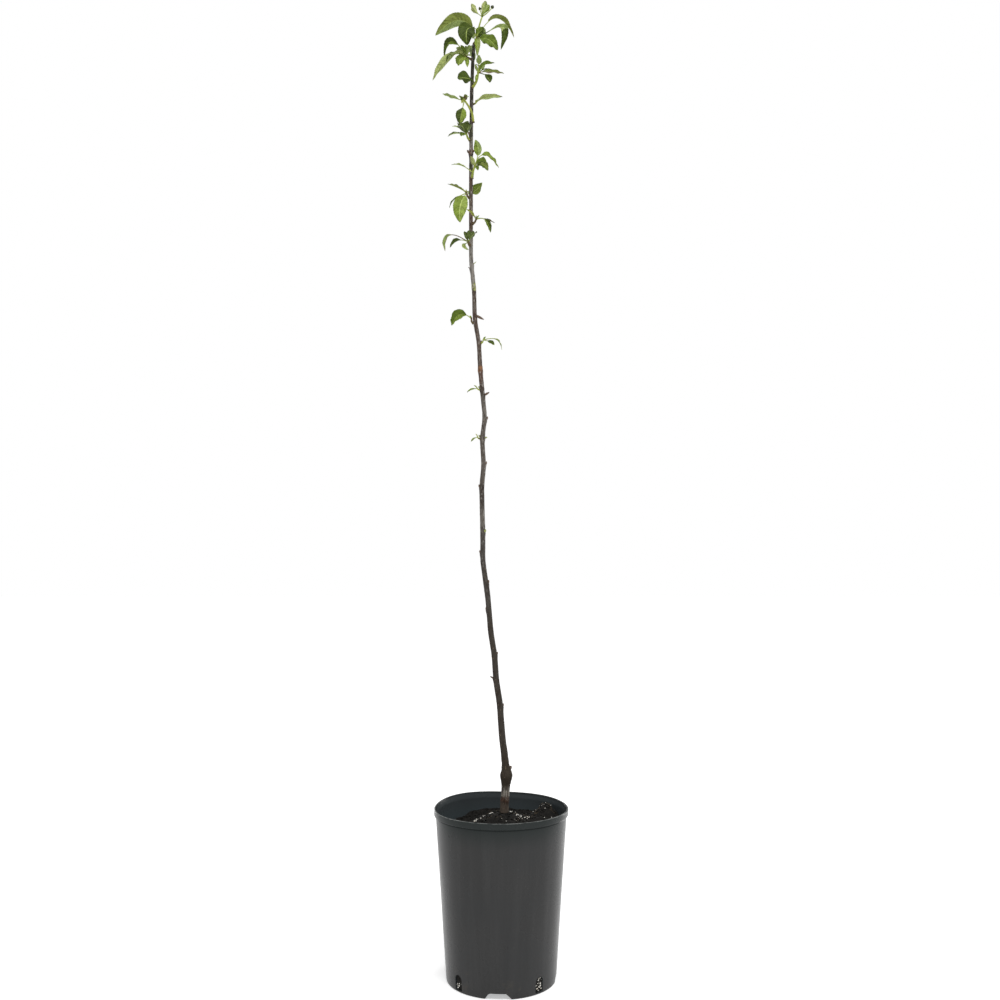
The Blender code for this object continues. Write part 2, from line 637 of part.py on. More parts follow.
def farLeaf(rule):
    heading = math.radians(rule.uniform(*FAR_HEADING))
    lift = math.radians(rule.uniform(*FAR_LIFT))
    reach = rule.uniform(*FAR_REACH)
    flat = reach * math.cos(lift)
    return leaf(flat * math.cos(heading), flat * math.sin(heading), reach * math.sin(lift),
                rule.uniform(0.1, 0.3), wide=rule.uniform(*FAR_WIDE), face=rule.uniform(-20, 20), stalk=0.3)


def twigPath(start, row, side, fromStem):
    stop = start + row["end"]
    root = start
    points = []
    if fromStem:
        out = Vector((math.cos(side), math.sin(side), 0))
        root = start + out * (stemRadius(start.z) + CLEAR + SURE)
        points.append(root)
        root = root + out * COLLAR
    hump = humpOf(root, stop, row["bow"], 0, 0)
    points += [curvePoint(root, hump, stop, t) for t in (0, 0.33, 0.67, 1)]
    return points


def makeTuft(row, masses, home):
    rule = random.Random(row["seed"])
    parts = addCollection(row["name"] + "_parts")
    start = stemCentre(row["height"])
    body = None
    mine = []
    for number, stick in enumerate(row["twigs"]):
        first = number == 0
        onTop = row["height"] >= STEM_LEAN[-1][0] * MM
        if first and onTop:
            points = [start + Vector((0, 0, CLEAR)), start + Vector((0, 0, COLLAR))]
            points += [start + stick["end"] * share + Vector((0, 0, CLEAR)) for share in (0.6, 1)]
        else:
            points = twigPath(start, stick, row["side"], first)
        thick = stick["thick"] / 2
        radii = [thick * (1 - 0.25 * k / (len(points) - 1)) for k in range(len(points))]
        wood = tube(f"{row['name']}_twig_{number}", points, radii, TWIG_BEVEL, home if first else parts)
        if first:
            body = wood
        end = points[-1]
        ball(f"{row['name']}_bud_{number}", end, stick["thick"] * BUD_SHARE, 1.15, parts)
        rows = list(stick["leaves"])
        if first:
            rows += [farLeaf(rule) for k in range(row["far"])]
        for k, blade in enumerate(rows):
            fold = math.radians(rule.uniform(10, 26))
            spot = (len(points) - 1) * blade["at"]
            low = min(int(spot), len(points) - 2)
            root = points[low].lerp(points[low + 1], spot - low)
            stations = leafStations(root, root + blade["tip"], blade, fold)
            outline = outlinePoints(stations)
            if not (clearOfStem(outline) and clearOfMasses(outline, masses)):
                print(row["name"], "leaf", number, k, "skipped")
                continue
            mine += outline
            leafSolid(f"{row['name']}_leaf_{number}_{k}", stations, parts)
        start = end
    body = combine(body, parts, "UNION", "MANIFOLD")
    body.name = row["name"]
    keepShell(body)
    smooth(body)
    masses.append(mine)
    return body


def main():
    clearScene()
    materials = makeMaterials()
    home = addCollection("potted_bogatyr_apple_tree")
    pot = makePot(home)
    soil = makeSoil(stemCentre(STEM_LEAN[0][0] * MM), home)
    trunk = makeTrunk(home)
    masses = []
    tufts = [makeTuft(row, masses, home) for row in TUFTS]
    pot.data.materials.append(materials["pot_plastic"])
    soil.data.materials.append(materials["potting_soil"])
    trunk.data.materials.append(materials["bark"])
    for thing in tufts:
        thing.data.materials.clear()
        thing.data.materials.append(materials["leaf_green"])


main()
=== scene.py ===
# Looks of the young apple tree in its nursery pot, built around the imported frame.
import math
import random

import bmesh
import bpy
from mathutils import Matrix, Vector, noise


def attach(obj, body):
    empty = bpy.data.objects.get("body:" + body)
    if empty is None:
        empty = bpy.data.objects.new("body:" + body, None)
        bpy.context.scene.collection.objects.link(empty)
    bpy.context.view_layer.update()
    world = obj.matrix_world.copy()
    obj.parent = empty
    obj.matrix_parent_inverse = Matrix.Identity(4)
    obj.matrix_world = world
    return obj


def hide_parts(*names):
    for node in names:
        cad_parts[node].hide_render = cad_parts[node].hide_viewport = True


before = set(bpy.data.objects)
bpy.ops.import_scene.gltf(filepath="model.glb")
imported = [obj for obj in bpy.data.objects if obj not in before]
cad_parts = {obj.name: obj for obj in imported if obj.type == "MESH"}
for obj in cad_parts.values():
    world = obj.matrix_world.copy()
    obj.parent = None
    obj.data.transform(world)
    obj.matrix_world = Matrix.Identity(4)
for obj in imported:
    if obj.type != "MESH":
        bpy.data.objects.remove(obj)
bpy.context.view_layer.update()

mm = 0.001
clear = 0.3 * mm    # left free between pieces that touch
print("frame loaded:", len(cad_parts), "solids")


# A value in a node tree: sums, differences and products with it add the Math nodes
class Wire:
    def __init__(self, tree, socket):
        self.tree = tree
        self.socket = socket

    def maths(self, kind, *values):
        return self.tree.node("Math", {"operation": kind}, dict(enumerate(values)))

    def __add__(self, other):
        return self.maths("ADD", self, other)

    def __radd__(self, other):
        return self.maths("ADD", other, self)

    def __sub__(self, other):
        return self.maths("SUBTRACT", self, other)

    def __rsub__(self, other):
        return self.maths("SUBTRACT", other, self)

    def __mul__(self, other):
        return self.maths("MULTIPLY", self, other)

    def __rmul__(self, other):
        return self.maths("MULTIPLY", other, self)

    # 0 under low, 1 over high, eased between them; the other way round when low is the larger
    def rise(self, low, high):
        return self.tree.node("MapRange", {"interpolation_type": "SMOOTHSTEP"},
                              {"Value": self, "From Min": low, "From Max": high})


# The nodes of a material or of the world
class Tree:
    def __init__(self, tree):
        self.nodes = tree.nodes
        self.links = tree.links

    def plug(self, socket, value):
        if isinstance(value, Wire):
            self.links.new(value.socket, socket)
        elif socket.type == "RGBA":
            socket.default_value = (*value[:3], 1)
        else:
            socket.default_value = value

    # Any node: its type, its settings, the values or links of its sockets, and which output is wanted
    def node(self, kind, settings=None, sockets=None, out=0):
        made = self.nodes.new("ShaderNode" + kind)
        for name, value in (settings or {}).items():
            if name == "stops":
                for k, (spot, colour) in enumerate(value):
                    stop = made.color_ramp.elements[k] if k < 2 else made.color_ramp.elements.new(spot)
                    stop.position = spot
                    stop.color = (*colour, 1)
            else:
                setattr(made, name, value)
        for name, value in (sockets or {}).items():
            self.plug(made.inputs[name], value)
        return Wire(self, made.outputs[out])


# One material: the values given with its name are set on the shader's own sockets
class Paint(Tree):
    def __init__(self, name, **plain):
        self.material = bpy.data.materials.new(name)
        self.material.use_nodes = True
        super().__init__(self.material.node_tree)
        for socket, value in plain.items():
            self.set(socket.replace("_", " "), value)

    def set(self, socket, value):
        self.plug(self.nodes["Principled BSDF"].inputs[socket], value)

    # Where a point lies on the piece in metres, with each axis stretched
    def place(self, across=1.0, away=1.0, up=1.0):
        spot = self.node("TexCoord", out="Object")
        return self.node("VectorMath", {"operation": "MULTIPLY"}, {0: spot, 1: (across, away, up)})

    def axis(self, spot, name):
        return self.node("SeparateXYZ", None, {0: spot}, name)

    def length(self, spot):
        return self.node("VectorMath", {"operation": "LENGTH"}, {0: spot}, "Value")

    # Soft noise with features of that size in metres
    def noise(self, spot, size, detail=2.0, rough=0.5):
        return self.node("TexNoise", None, {"Vector": spot, "Scale": 1 / size, "Detail": detail,
                                            "Roughness": rough})

    def cells(self, spot, size, feature="F1"):
        return self.node("TexVoronoi", {"feature": feature}, {"Vector": spot, "Scale": 1 / size})

    def mix(self, share, low, high):
        return self.node("Mix", {"data_type": "RGBA"}, {0: share, 6: low, 7: high}, 2)

    def ramp(self, share, stops):
        return self.node("ValToRGB", {"stops": stops}, {0: share})

    # What every finish ends in: its colour, its roughness, and a relief of that depth in metres
    def finish(self, colour, rough, height, deep):
        self.set("Base Color", colour)
        self.set("Roughness", rough)
        self.set("Normal", self.node("Bump", None, {"Height": height, "Distance": deep}))
        return self


# A colour as seen on a screen, from 0 to 255, turned into light
def seen(red, green, blue):
    return tuple(((c / 255 + 0.055) / 1.055) ** 2.4 if c > 10 else c / 255 / 12.92 for c in (red, green, blue))


def seenAll(tones):
    return {name: seen(*tone) for name, tone in tones.items()}


# A finish of two tones dealt out by a noise, with relief and roughness from the same noise or a finer one
def makeGrainPaint(name, gloss, tones, blotch, turnover, rough, roughShare, deep, fine=None):
    paint = Paint(name, Specular_IOR_Level=gloss)
    spot = paint.place()
    blotches = paint.noise(spot, *blotch)
    grain = paint.noise(spot, *fine) if fine else blotches
    colour = paint.mix(blotches.rise(*turnover), seen(*tones[0]), seen(*tones[1]))
    return paint.finish(colour, rough + grain * roughShare, grain, deep)


# A point at that distance and angle from the upright axis
def around(out, turn, z=0.0):
    return Vector((out * math.cos(turn), out * math.sin(turn), z))


# Corners and faces gathered for one piece, each face with the number of its material
class Heap:
    def __init__(self):
        self.corners = []
        self.faces = []
        self.tints = []

    def add(self, corners, faces, tints):
        first = len(self.corners)
        self.corners += corners
        self.faces += [[first + k for k in face] for face in faces]
        self.tints += tints if isinstance(tints, list) else [tints] * len(faces)

    # Rings of corners joined one to the next and closed at both ends; tint may be a function of (row, column)
    def loft(self, rings, tint):
        count = len(rings[0])
        faces, tints = [], []
        for row in range(len(rings) - 1):
            low = row * count
            for k in range(count):
                after = (k + 1) % count
                faces.append((low + k, low + after, low + count + after, low + count + k))
                tints.append(tint(row, k) if callable(tint) else tint)
        last = (len(rings) - 1) * count
        faces += [tuple(range(count - 1, -1, -1)), tuple(range(last, last + count))]
        self.add([corner for ring in rings for corner in ring], faces, tints + [tints[0], tints[-1]])


def addThing(name, corners, faces, paints, tints=None):
    mesh = bpy.data.meshes.new(name)
    mesh.from_pydata(corners, [], faces)
    for paint in paints:
        mesh.materials.append(paint.material)
    if tints:
        mesh.polygons.foreach_set("material_index", tints)
    thing = bpy.data.objects.new(name, mesh)
    smooth(thing)
    bpy.context.scene.collection.objects.link(thing)
    return thing


def smooth(thing):
    mesh = thing.data
    mesh.polygons.foreach_set("use_smooth", [True] * len(mesh.polygons))
    mesh.update()


def addHeap(name, heap, paints):
    return addThing(name, heap.corners, heap.faces, paints, heap.tints)


def ownPiece(thing, slotName, *nodes):
    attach(thing, "root")
    if nodes:
        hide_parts(*nodes)
    return thing


# A ring of corners around a line through a point: side and upper are unit vectors across the line
def ringAt(centre, side, upper, radius, sides, squash=1.0):
    return [centre + side * (radius * math.cos(math.tau * k / sides))
            + upper * (radius * squash * math.sin(math.tau * k / sides)) for k in range(sides)]


# Frames along a path, carried on from the first so that nothing twists
def framesAlong(points):
    slopes = []
    for k in range(len(points)):
        low, high = max(0, k - 1), min(len(points) - 1, k + 1)
        slopes.append((points[high] - points[low]).normalized())
    upper = slopes[0].cross(Vector((0.3, 1, 0.1))).normalized()
    made = []
    for slope in slopes:
        upper = (upper - slope * upper.dot(slope)).normalized()
        made.append((slope.cross(upper), upper))
    return made


def pipe(heap, points, radii, sides, tint):
    rings = [ringAt(point, side, upper, radius, sides)
             for point, (side, upper), radius in zip(points, framesAlong(points), radii)]
    heap.loft(rings, tint)


# A table's row at that place, in proportion between the rows beside it; the first column is the place
def between(table, at):
    for low, high in zip(table, table[1:]):
        if at <= high[0]:
            share = max(0.0, (at - low[0]) / (high[0] - low[0]))
            return [a + (b - a) * share for a, b in zip(low[1:], high[1:])]
    return list(table[-1][1:])


# The mean of a table's rows over a stretch, which rounds its bends
def eased(table, at, stretch):
    spots = [between(table, at + stretch * (k / 3 - 1)) for k in range(7)]
    return [sum(values) / len(spots) for values in zip(*spots)]


def curvePoint(start, hump, stop, t):
    return start * (1 - t) ** 2 + hump * 2 * t * (1 - t) + stop * t * t


def curveSlope(start, hump, stop, t):
    return ((hump - start) * (1 - t) + (stop - hump) * t).normalized()


# The camera: level, at the photograph's height, with the shift that its framing has
camera = {"place": (0, -1.438, 0.574), "lens": 38.3, "sensor": 36, "shift": (-0.0012, 0.0524), "nearest": 0.01}

view = bpy.data.cameras.new("photoView")
view.lens = camera["lens"]
view.sensor_width = camera["sensor"]
view.shift_x, view.shift_y = camera["shift"]
view.clip_start = camera["nearest"]
viewer = bpy.data.objects.new("photoView", view)
viewer.location = camera["place"]
viewer.rotation_euler = (math.pi / 2, 0, 0)
bpy.context.scene.collection.objects.link(viewer)
bpy.context.scene.camera = viewer


# The pot
pot = {
    "height": 230 * mm, "footRadius": 74.2 * mm, "footRound": 1.5 * mm,
    "shoulderRadius": 88.2 * mm, "shoulderHeight": 219.5 * mm, "groove": 0.35 * mm,
    "lipRadius": 90.8 * mm, "lipHeight": 8 * mm, "lipWall": 2.6 * mm, "lipDraft": 0.3 * mm, "lipRound": 1.3 * mm,
    "wall": 1.6 * mm, "floor": 1.8 * mm, "sides": 192, "rowHeight": 7 * mm, "sharpFrom": 32,
    # Where the rim rises or sags: side in degrees, how far in millimetres, and how narrow the bend is
    "rimBends": ((-128, -0.4, 2), (10, -0.6, 2), (48, 1.0, 6), (133, 2.9, 4), (185, -1.4, 4)),
    "turn": -3.3,         # degrees that the openings at the foot are turned by
    "channelTop": 21.5 * mm, "channelFoot": 36 * mm, "channelHeight": 7.6 * mm, "channelStart": 27 * mm,
    "cover": 1.6 * mm,    # the wall over a channel inside the pot
    "slotWidth": 12.5 * mm, "slotFoot": 2.2 * mm, "slotTop": 22.5 * mm, "slotDeep": 9 * mm,
    "flare": 0.5 * mm,    # the chamfer around each opening
    "wobble": 0.12 * mm, "wobbleWaves": (30, 30, 12), "wobbleFrom": 70 * mm, "wobbleEase": 40 * mm,
    "wearAndHighlightWide": 1 * mm,     # how wide the rim's top edge is that is painted with rubbed wear and a highlight
    "gloss": 0.16, "rough": 0.21,
    "tones": {"body": (51, 51, 51), "bodyPale": (57, 57, 57), "cloud": (50, 51, 52), "paintedLipShade": (30, 37, 36),
              "paintedLightInsideLow": (69, 77, 80), "paintedLightInsideHigh": (65, 70, 72), "dust": (84, 78, 68),
              "scuff": (98, 99, 97), "wearAndHighlight": (150, 152, 150)},
}


def makePotPaint():
    paint = Paint("mouldedPlastic", Specular_IOR_Level=pot["gloss"])
    tones = seenAll(pot["tones"])
    spot = paint.place()
    up = paint.axis(spot, "Z")
    bands = paint.noise(paint.place(1, 1, 0.03), 0.016, 3, 0.6)    # upright streaks from the mould
    cloud = paint.noise(spot, 0.06, 3, 0.55)
    grain = paint.noise(spot, 0.0011, 2, 0.6)
    body = paint.mix(bands.rise(0.35, 0.7), tones["body"], tones["bodyPale"])
    body = paint.mix(cloud.rise(0.4, 0.75) * 0.5, body, tones["cloud"])
    # Painted shade: darker from 190 mm up and over the lip's face, standing in for the shade under the lip
    body = paint.mix(up.rise(0.19, 0.222) * 0.8, body, tones["paintedLipShade"])
    slope = (pot["shoulderRadius"] - pot["footRadius"]) / pot["shoulderHeight"]
    # Painted light: the inside wall is paler than the outside, standing in for light falling into the pot
    inside = (pot["footRadius"] + up * slope - paint.length(paint.place(1, 1, 0)))
    inside = inside.rise(pot["wall"] * 0.4, pot["wall"] * 0.8)
    body = paint.mix(inside, body, paint.mix(up.rise(0.2, 0.224), tones["paintedLightInsideLow"], tones["paintedLightInsideHigh"]))
    dust = paint.noise(spot, 0.02, 4, 0.65).rise(0.55, 0.75) * up.rise(0.05, 0.0) * 0.4
    body = paint.mix(dust, body, tones["dust"])
    scuffs = paint.noise(paint.place(1, 1, 0.25), 0.0022, 2, 0.7).rise(0.72, 0.8) * 0.3
    body = paint.mix(scuffs, body, tones["scuff"])
    # Rubbed wear and a painted highlight: a pale broken line along the lip's top outer edge
    wearAndHighlight = paint.node("Attribute", {"attribute_name": "wearAndHighlight"}, out="Fac")
    wearAndHighlightBreaks = paint.noise(paint.place(1, 1, 3), 0.007, 3, 0.6).rise(0.3, 0.6)
    body = paint.mix(wearAndHighlight * wearAndHighlightBreaks * 0.8, body, tones["wearAndHighlight"])
    rough = pot["rough"] + bands * 0.08 + cloud.rise(0.3, 0.8) * 0.08 + dust * 0.5
    return paint.finish(body, rough, grain * 0.5 + bands * 0.4, 0.0001)


# Rounds the corners of a profile of (radius, height, rounding) rows, by no more than a share of each side
def roundedProfile(rows, steps=4, most=0.45):
    points = [Vector(row[:2]) for row in rows]
    made = [points[0]]
    for k in range(1, len(rows) - 1):
        back, ahead = points[k - 1] - points[k], points[k + 1] - points[k]
        cut = min(rows[k][2], back.length * most, ahead.length * most)
        if cut:
            start, stop = points[k] + back.normalized() * cut, points[k] + ahead.normalized() * cut
            made += [curvePoint(start, points[k], stop, step / steps) for step in range(steps + 1)]
        else:
            made.append(points[k])
    return made + [points[-1]]


# Turns a piece's faces outward, after turning a cutter to its side and cutting it into triangles
def faceOutward(thing, side=None):
    bm = bmesh.new()
    bm.from_mesh(thing.data)
    if side is not None:
        bmesh.ops.rotate(bm, verts=bm.verts, cent=(0, 0, 0), matrix=Matrix.Rotation(side, 3, "Z"))
        bmesh.ops.triangulate(bm, faces=bm.faces)
    bmesh.ops.recalc_face_normals(bm, faces=bm.faces)
    bm.to_mesh(thing.data)
    bm.free()
    return thing


# A closed profile turned about the pot's axis, long stretches cut into rows
def turnedBody(name, profile, longest, paints):
    fine = [profile[0]]
    for low, high in zip(profile, profile[1:]):
        rows = max(1, math.ceil((high - low).length / longest))
        fine += [low.lerp(high, (k + 1) / rows) for k in range(rows)]
    sides = pot["sides"]
    corners = [Vector((0, 0, fine[0].y)), Vector((0, 0, fine[-1].y))]
    corners += [around(radius, math.tau * k / sides, height) for radius, height in fine[1:-1] for k in range(sides)]
    last = len(corners) - sides
    faces = []
    for k in range(sides):
        after = (k + 1) % sides
        faces += [(0, 2 + after, 2 + k), (1, last + k, last + after)]
        faces += [(low + k, low + after, low + sides + after, low + sides + k) for low in range(2, last, sides)]
    return faceOutward(addThing(name, corners, faces, paints))


# A cutter that follows the wall: an outline of (across, up) pairs pushed out through stations of
# (radius, growth, whether it bends with the wall), turned to a side
def cutterThrough(name, outline, stations, side):
    middle = Vector([sum(values) / len(outline) for values in zip(*outline)])
    rings = []
    for radius, growth, bends in stations:
        ring = []
        for pair in outline:
            away = Vector(pair) - middle
            grown = middle + away + away.normalized() * growth
            out = radius
            if bends:
                out = math.sqrt((bodyRadius(grown.y) - pot["footRadius"] + radius) ** 2 - grown.x ** 2)
            ring.append(Vector((out, *grown)))
        rings.append(ring)
    heap = Heap()
    heap.loft(rings, 0)
    return faceOutward(addHeap(name, heap, []), side)


def addBoolean(body, tool, operation):
    joint = body.modifiers.new("join", "BOOLEAN")
    joint.object = tool
    joint.operation = operation
    joint.solver = "MANIFOLD"


# Joins or cuts a body with other objects, which are then removed
def combine(body, tools, operation):
    for tool in tools:
        addBoolean(body, tool, operation)
    bpy.context.view_layer.update()
    mesh = bpy.data.meshes.new_from_object(body.evaluated_get(bpy.context.evaluated_depsgraph_get()))
    body.modifiers.clear()
    body.data = mesh
    for tool in tools:
        bpy.data.objects.remove(tool, do_unlink=True)


# How far the rim sags or rises at a point of the pot or the soil
def rimShift(x, y, z):
    share = max(0.0, min(1.0, z / pot["height"]))
    side = math.atan2(y, x)
    bend = sum(rise * mm * max(0.0, math.cos(side - math.radians(at))) ** narrow
               for at, rise, narrow in pot["rimBends"])
    return share ** 3 * bend * min(1.0, math.hypot(x, y) / pot["lipRadius"])


def bodyRadius(z):
    return pot["footRadius"] + (pot["shoulderRadius"] - pot["footRadius"]) * z / pot["shoulderHeight"]


# A channel's cross-section: eased on the left of the front one, a straight chamfer on its right
def channelOutline(grow):
    top, foot, high = pot["channelTop"] / 2 + grow, pot["channelFoot"] / 2 + grow, pot["channelHeight"] + grow
    under = -grow - mm
    eased = [(-foot + (foot - top) * s, high * (3 * s * s - 2 * s * s * s)) for s in (0.75, 0.5, 0.25, 0.0)]
    return [(-foot, under), (foot, under), (foot, 0), (top, high - 0.4 * mm), (top - 0.6 * mm, high),
            (-top + mm, high), (-top, high - 0.3 * mm)] + eased


def slotOutline():
    half = pot["slotWidth"] / 2
    low, high = pot["slotFoot"], pot["slotTop"] - half
    outline = [(-half, low + mm), (-half + mm, low), (half - mm, low), (half, low + mm)]
    return outline + [(half * math.cos(a), high + half * math.sin(a)) for a in [math.pi * k / 16 for k in range(17)]]


# The four solids of one kind of opening, from near the axis out through the wall, with a chamfer or plain
def openings(kind, outline, start, flare=0, offset=0.0):
    wall = pot["footRadius"]
    stations = [(start, 0, False), (wall + 9 * mm, 0, False)]
    if flare:
        stations = [(start, 0, False), (wall - flare, 0, True), (wall + 0.1 * mm, flare * 1.1, True),
                    (wall + 4 * mm, flare * 2, True)]
    return [cutterThrough(f"{kind}{k}", outline, stations, (k + offset) * math.tau / 4 + math.radians(pot["turn"]))
            for k in range(4)]


# The box over each channel, which the soil also keeps clear of
def covers(grow):
    return openings("cover", channelOutline(grow), pot["channelStart"] - grow)


def makePot():
    lipFoot = pot["height"] - pot["lipHeight"]
    inside = pot["shoulderRadius"] - pot["wall"]
    groove = pot["shoulderRadius"] - pot["groove"]
    lip, high = pot["lipRadius"], pot["height"]
    rows = [(0, pot["floor"], 0), (bodyRadius(pot["floor"]) - pot["wall"], pot["floor"], 1.5 * mm),
            (inside, pot["shoulderHeight"], 0), (inside, lipFoot, 0.8 * mm),
            (lip - pot["lipWall"], high, 0.6 * mm), (lip - 0.15 * mm, high, pot["lipRound"]),
            (lip - pot["lipDraft"], lipFoot, 0.7 * mm), (groove, lipFoot, 0.5 * mm),
            (groove, pot["shoulderHeight"] + 1.2 * mm, 0.3 * mm),
            (pot["shoulderRadius"], pot["shoulderHeight"] + 0.2 * mm, 0.6 * mm),
            (bodyRadius(0), 0, pot["footRound"]), (0, 0, 0)]
    body = turnedBody("potShell", roundedProfile(rows), pot["rowHeight"], [makePotPaint()])
    under, coreTop = pot["floor"] / 2, 60 * mm    # the covers end halfway into the wall and the floor
    core = turnedBody("core", [Vector((0, coreTop)), Vector((bodyRadius(coreTop) - pot["wall"] / 2, coreTop)),
                               Vector((pot["footRadius"] - pot["wall"] / 2, under)), Vector((0, under))],
                      coreTop * 4, [])
    boxes = covers(pot["cover"])
    for box in boxes:
        addBoolean(box, core, "INTERSECT")
    combine(body, boxes, "UNION")
    bpy.data.objects.remove(core, do_unlink=True)
    combine(body, openings("channel", channelOutline(0), pot["channelStart"], pot["flare"]), "DIFFERENCE")
    slotStart = pot["footRadius"] - pot["slotDeep"]
    combine(body, openings("slot", slotOutline(), slotStart, pot["flare"], 0.5), "DIFFERENCE")
    mesh = body.data
    # Marks the lip's top outer edge for the paint's rubbed wear and painted highlight
    wearAndHighlight = mesh.attributes.new("wearAndHighlight", "FLOAT", "POINT")
    for vert in mesh.vertices:
        spot = vert.co.copy()
        out = math.hypot(spot.x, spot.y)
        fromEdge = math.hypot(out - lip + pot["wearAndHighlightWide"], spot.z - high)
        wearAndHighlight.data[vert.index].value = max(0.0, 1 - fromEdge / pot["wearAndHighlightWide"])
        if out > pot["wobbleFrom"] and spot.z > 2 * mm:
            wave = noise.noise(Vector([a * b for a, b in zip(spot, pot["wobbleWaves"])]))
            push = pot["wobble"] * wave * min(1.0, spot.z / pot["wobbleEase"])
            vert.co.x += spot.x / out * push
            vert.co.y += spot.y / out * push
        vert.co.z += rimShift(*spot)
    smooth(body)
    mesh.set_sharp_from_angle(angle=math.radians(pot["sharpFrom"]))
    return ownPiece(body, "pot_plastic", "pot")


potShell = makePot()
print("pot:", len(potShell.data.polygons), "faces")


# The soil with its crumbs, perlite and fibres
soil = {
    "padHeight": 222.4 * mm, "padRadius": 10 * mm, "padEase": 8 * mm, "edge": 207 * mm, "lumps": 0.9 * mm,
    # (side in degrees, distance out, height, spread), the last three in millimetres
    "humps": ((0, 0, 16, 30), (31, 72, 19, 16), (178, 72, -17, 26), (138, 74, -11, 24), (15, 50, 5, 14),
              (-110, 50, 4, 18)),
    "rings": 64, "sides": 192, "sideRows": (0.35, 0.7, 0.9, 1.0),    # shares of the way down to the floor
    "crumbRise": 1.5 * mm, "crumbSizes": ((5.5 * mm, 1.0), (2.4 * mm, 0.6)),    # and how much each counts
    "lumpWaves": (190, 230, 90, 310),
    "knob": 0.35, "knobWaves": 1.7, "proud": 0.25, "inset": 3 * mm, "seed": 41,
    # Bits all over the top: how many, their sizes in millimetres, how flat they are, and their material
    "scattered": ((900, (0.5, 1.9), (0.5, 0.9), 0), (54, (0.35, 1.1), (0.6, 0.9), 1)), "narrow": (0.6, 0.95),
    # Perlite that shows over the front of the rim: its span across and away, how many, and how big,
    # in millimetres
    "drifts": ((-38, -12, 3, 18, 26, 1.0), (8, 24, 2, 20, 14, 1.0), (24, 40, 4, 20, 15, 1.0),
               (22, 40, 6, 20, 9, 0.7), (-70, -40, -30, -8, 7, 0.8), (44, 58, 34, 48, 10, 0.6),
               (58, 72, 26, 40, 9, 0.6)),
    "driftVary": (0.5, 1.5), "driftFlat": (0.4, 0.8),
    # Root fibres anywhere, and others from a place across and away, with a heading and a length
    "fibres": 60, "fibreLength": (4, 12), "fibreThick": 0.16 * mm, "fibreSteps": 6, "fibreReach": 0.97,
    "fibreBend": (-1.2, 1.2), "strandBend": (-0.5, 0.5), "fibreClear": 0.3 * mm, "fibreLift": 1.2 * mm,
    "strands": ((40, 18, 0.9, 16), (46, 26, 1.0, 14), (55, 40, 0.4, 12), (62, 44, -0.6, 12), (68, 38, -1.2, 10)),
    # What shows through the drain slots, in millimetres; the share that is perlite, and that share in front
    "slotBits": {"count": 26, "aside": 6, "up": (4, 21), "deep": (0.5, 1.3), "size": (0.6, 1.6),
                 "stretch": (1, 0.8, 0.7), "pale": 0.3, "paleFront": 0.75},
    "tones": {"dark": (20, 19, 17), "light": (35, 33, 30), "fleck": (42, 36, 29)},
    "perlite": {"gloss": 0.35, "tones": ((240, 238, 230), (186, 172, 148)), "blotch": (0.0024, 2, 0.5),
                "turnover": (0.45, 0.75), "rough": 0.8, "roughShare": 0.15, "deep": 0.0004,
                "fine": (0.0007, 3, 0.6)},
    "fibre": {"gloss": 0.3, "tones": ((92, 76, 56), (150, 132, 104)), "blotch": (0.003, 2, 0.5),
              "turnover": (0.35, 0.7), "rough": 0.75, "roughShare": 0.15, "deep": 0.0003},
}


def makeSoilPaint():
    paint = Paint("peatSoil", Specular_IOR_Level=0.25)
    tones = seenAll(soil["tones"])
    spot = paint.place()
    coarse = paint.noise(spot, 0.007, 4, 0.65)
    fine = paint.noise(spot, 0.0012, 3, 0.7)
    colour = paint.mix(coarse.rise(0.35, 0.65), tones["dark"], tones["light"])
    colour = paint.mix(fine.rise(0.64, 0.78) * 0.45, colour, tones["fleck"])
    return paint.finish(colour, 0.86 + fine * 0.12, fine + coarse * 0.8, 0.0012)


def soilHeight(x, y):
    z = soil["edge"]
    for side, out, height, spread in soil["humps"]:
        turn = math.radians(side)
        gap = math.hypot(x - out * mm * math.cos(turn), y - out * mm * math.sin(turn)) / (spread * mm)
        z += height * mm * math.exp(-gap * gap)
    a, b, c, d = soil["lumpWaves"]
    return z + soil["lumps"] * (math.sin(x * a) * math.cos(y * b) + math.sin(x * c + y * d + 1))


def crumble(x, y):
    rise = 0.0
    for size, share in soil["crumbSizes"]:
        gaps = noise.voronoi(Vector((x / size, y / size, 0.3)))[0]
        rise += share * (0.45 - min(0.9, gaps[0]))
    return soil["crumbRise"] * rise


def soilSurface(x, y):
    level = soilHeight(x, y) + rimShift(x, y, soil["edge"])
    fromStem = math.hypot(x - stemFoot.x, y - stemFoot.y)
    share = max(0.0, min(1.0, (fromStem - soil["padRadius"]) / soil["padEase"]))
    return soil["padHeight"] + share * (level - soil["padHeight"]) + crumble(x, y)


def makeBall(levels):
    bm = bmesh.new()
    bmesh.ops.create_icosphere(bm, subdivisions=levels, radius=1)
    corners = [vert.co.copy() for vert in bm.verts]
    faces = [[vert.index for vert in face.verts] for face in bm.faces]
    bm.free()
    return corners, faces


ballCorners, ballFaces = makeBall(2)


# A lump: that ball stretched, turned at random and pushed in and out
def lump(heap, centre, size, stretch, tint, rule):
    turn = Matrix.Rotation(rule.uniform(0, math.tau), 3, "Z") @ Matrix.Rotation(rule.uniform(0, math.pi), 3, "X")
    shift = Vector((rule.random(), rule.random(), rule.random())) * 40
    corners = []
    for corner in ballCorners:
        knob = 1 + soil["knob"] * noise.noise(corner * soil["knobWaves"] + shift)
        spot = Vector([a * b for a, b in zip(corner, stretch)]) * (size * knob)
        corners.append(centre + turn @ spot)
    heap.add(corners, ballFaces, tint)


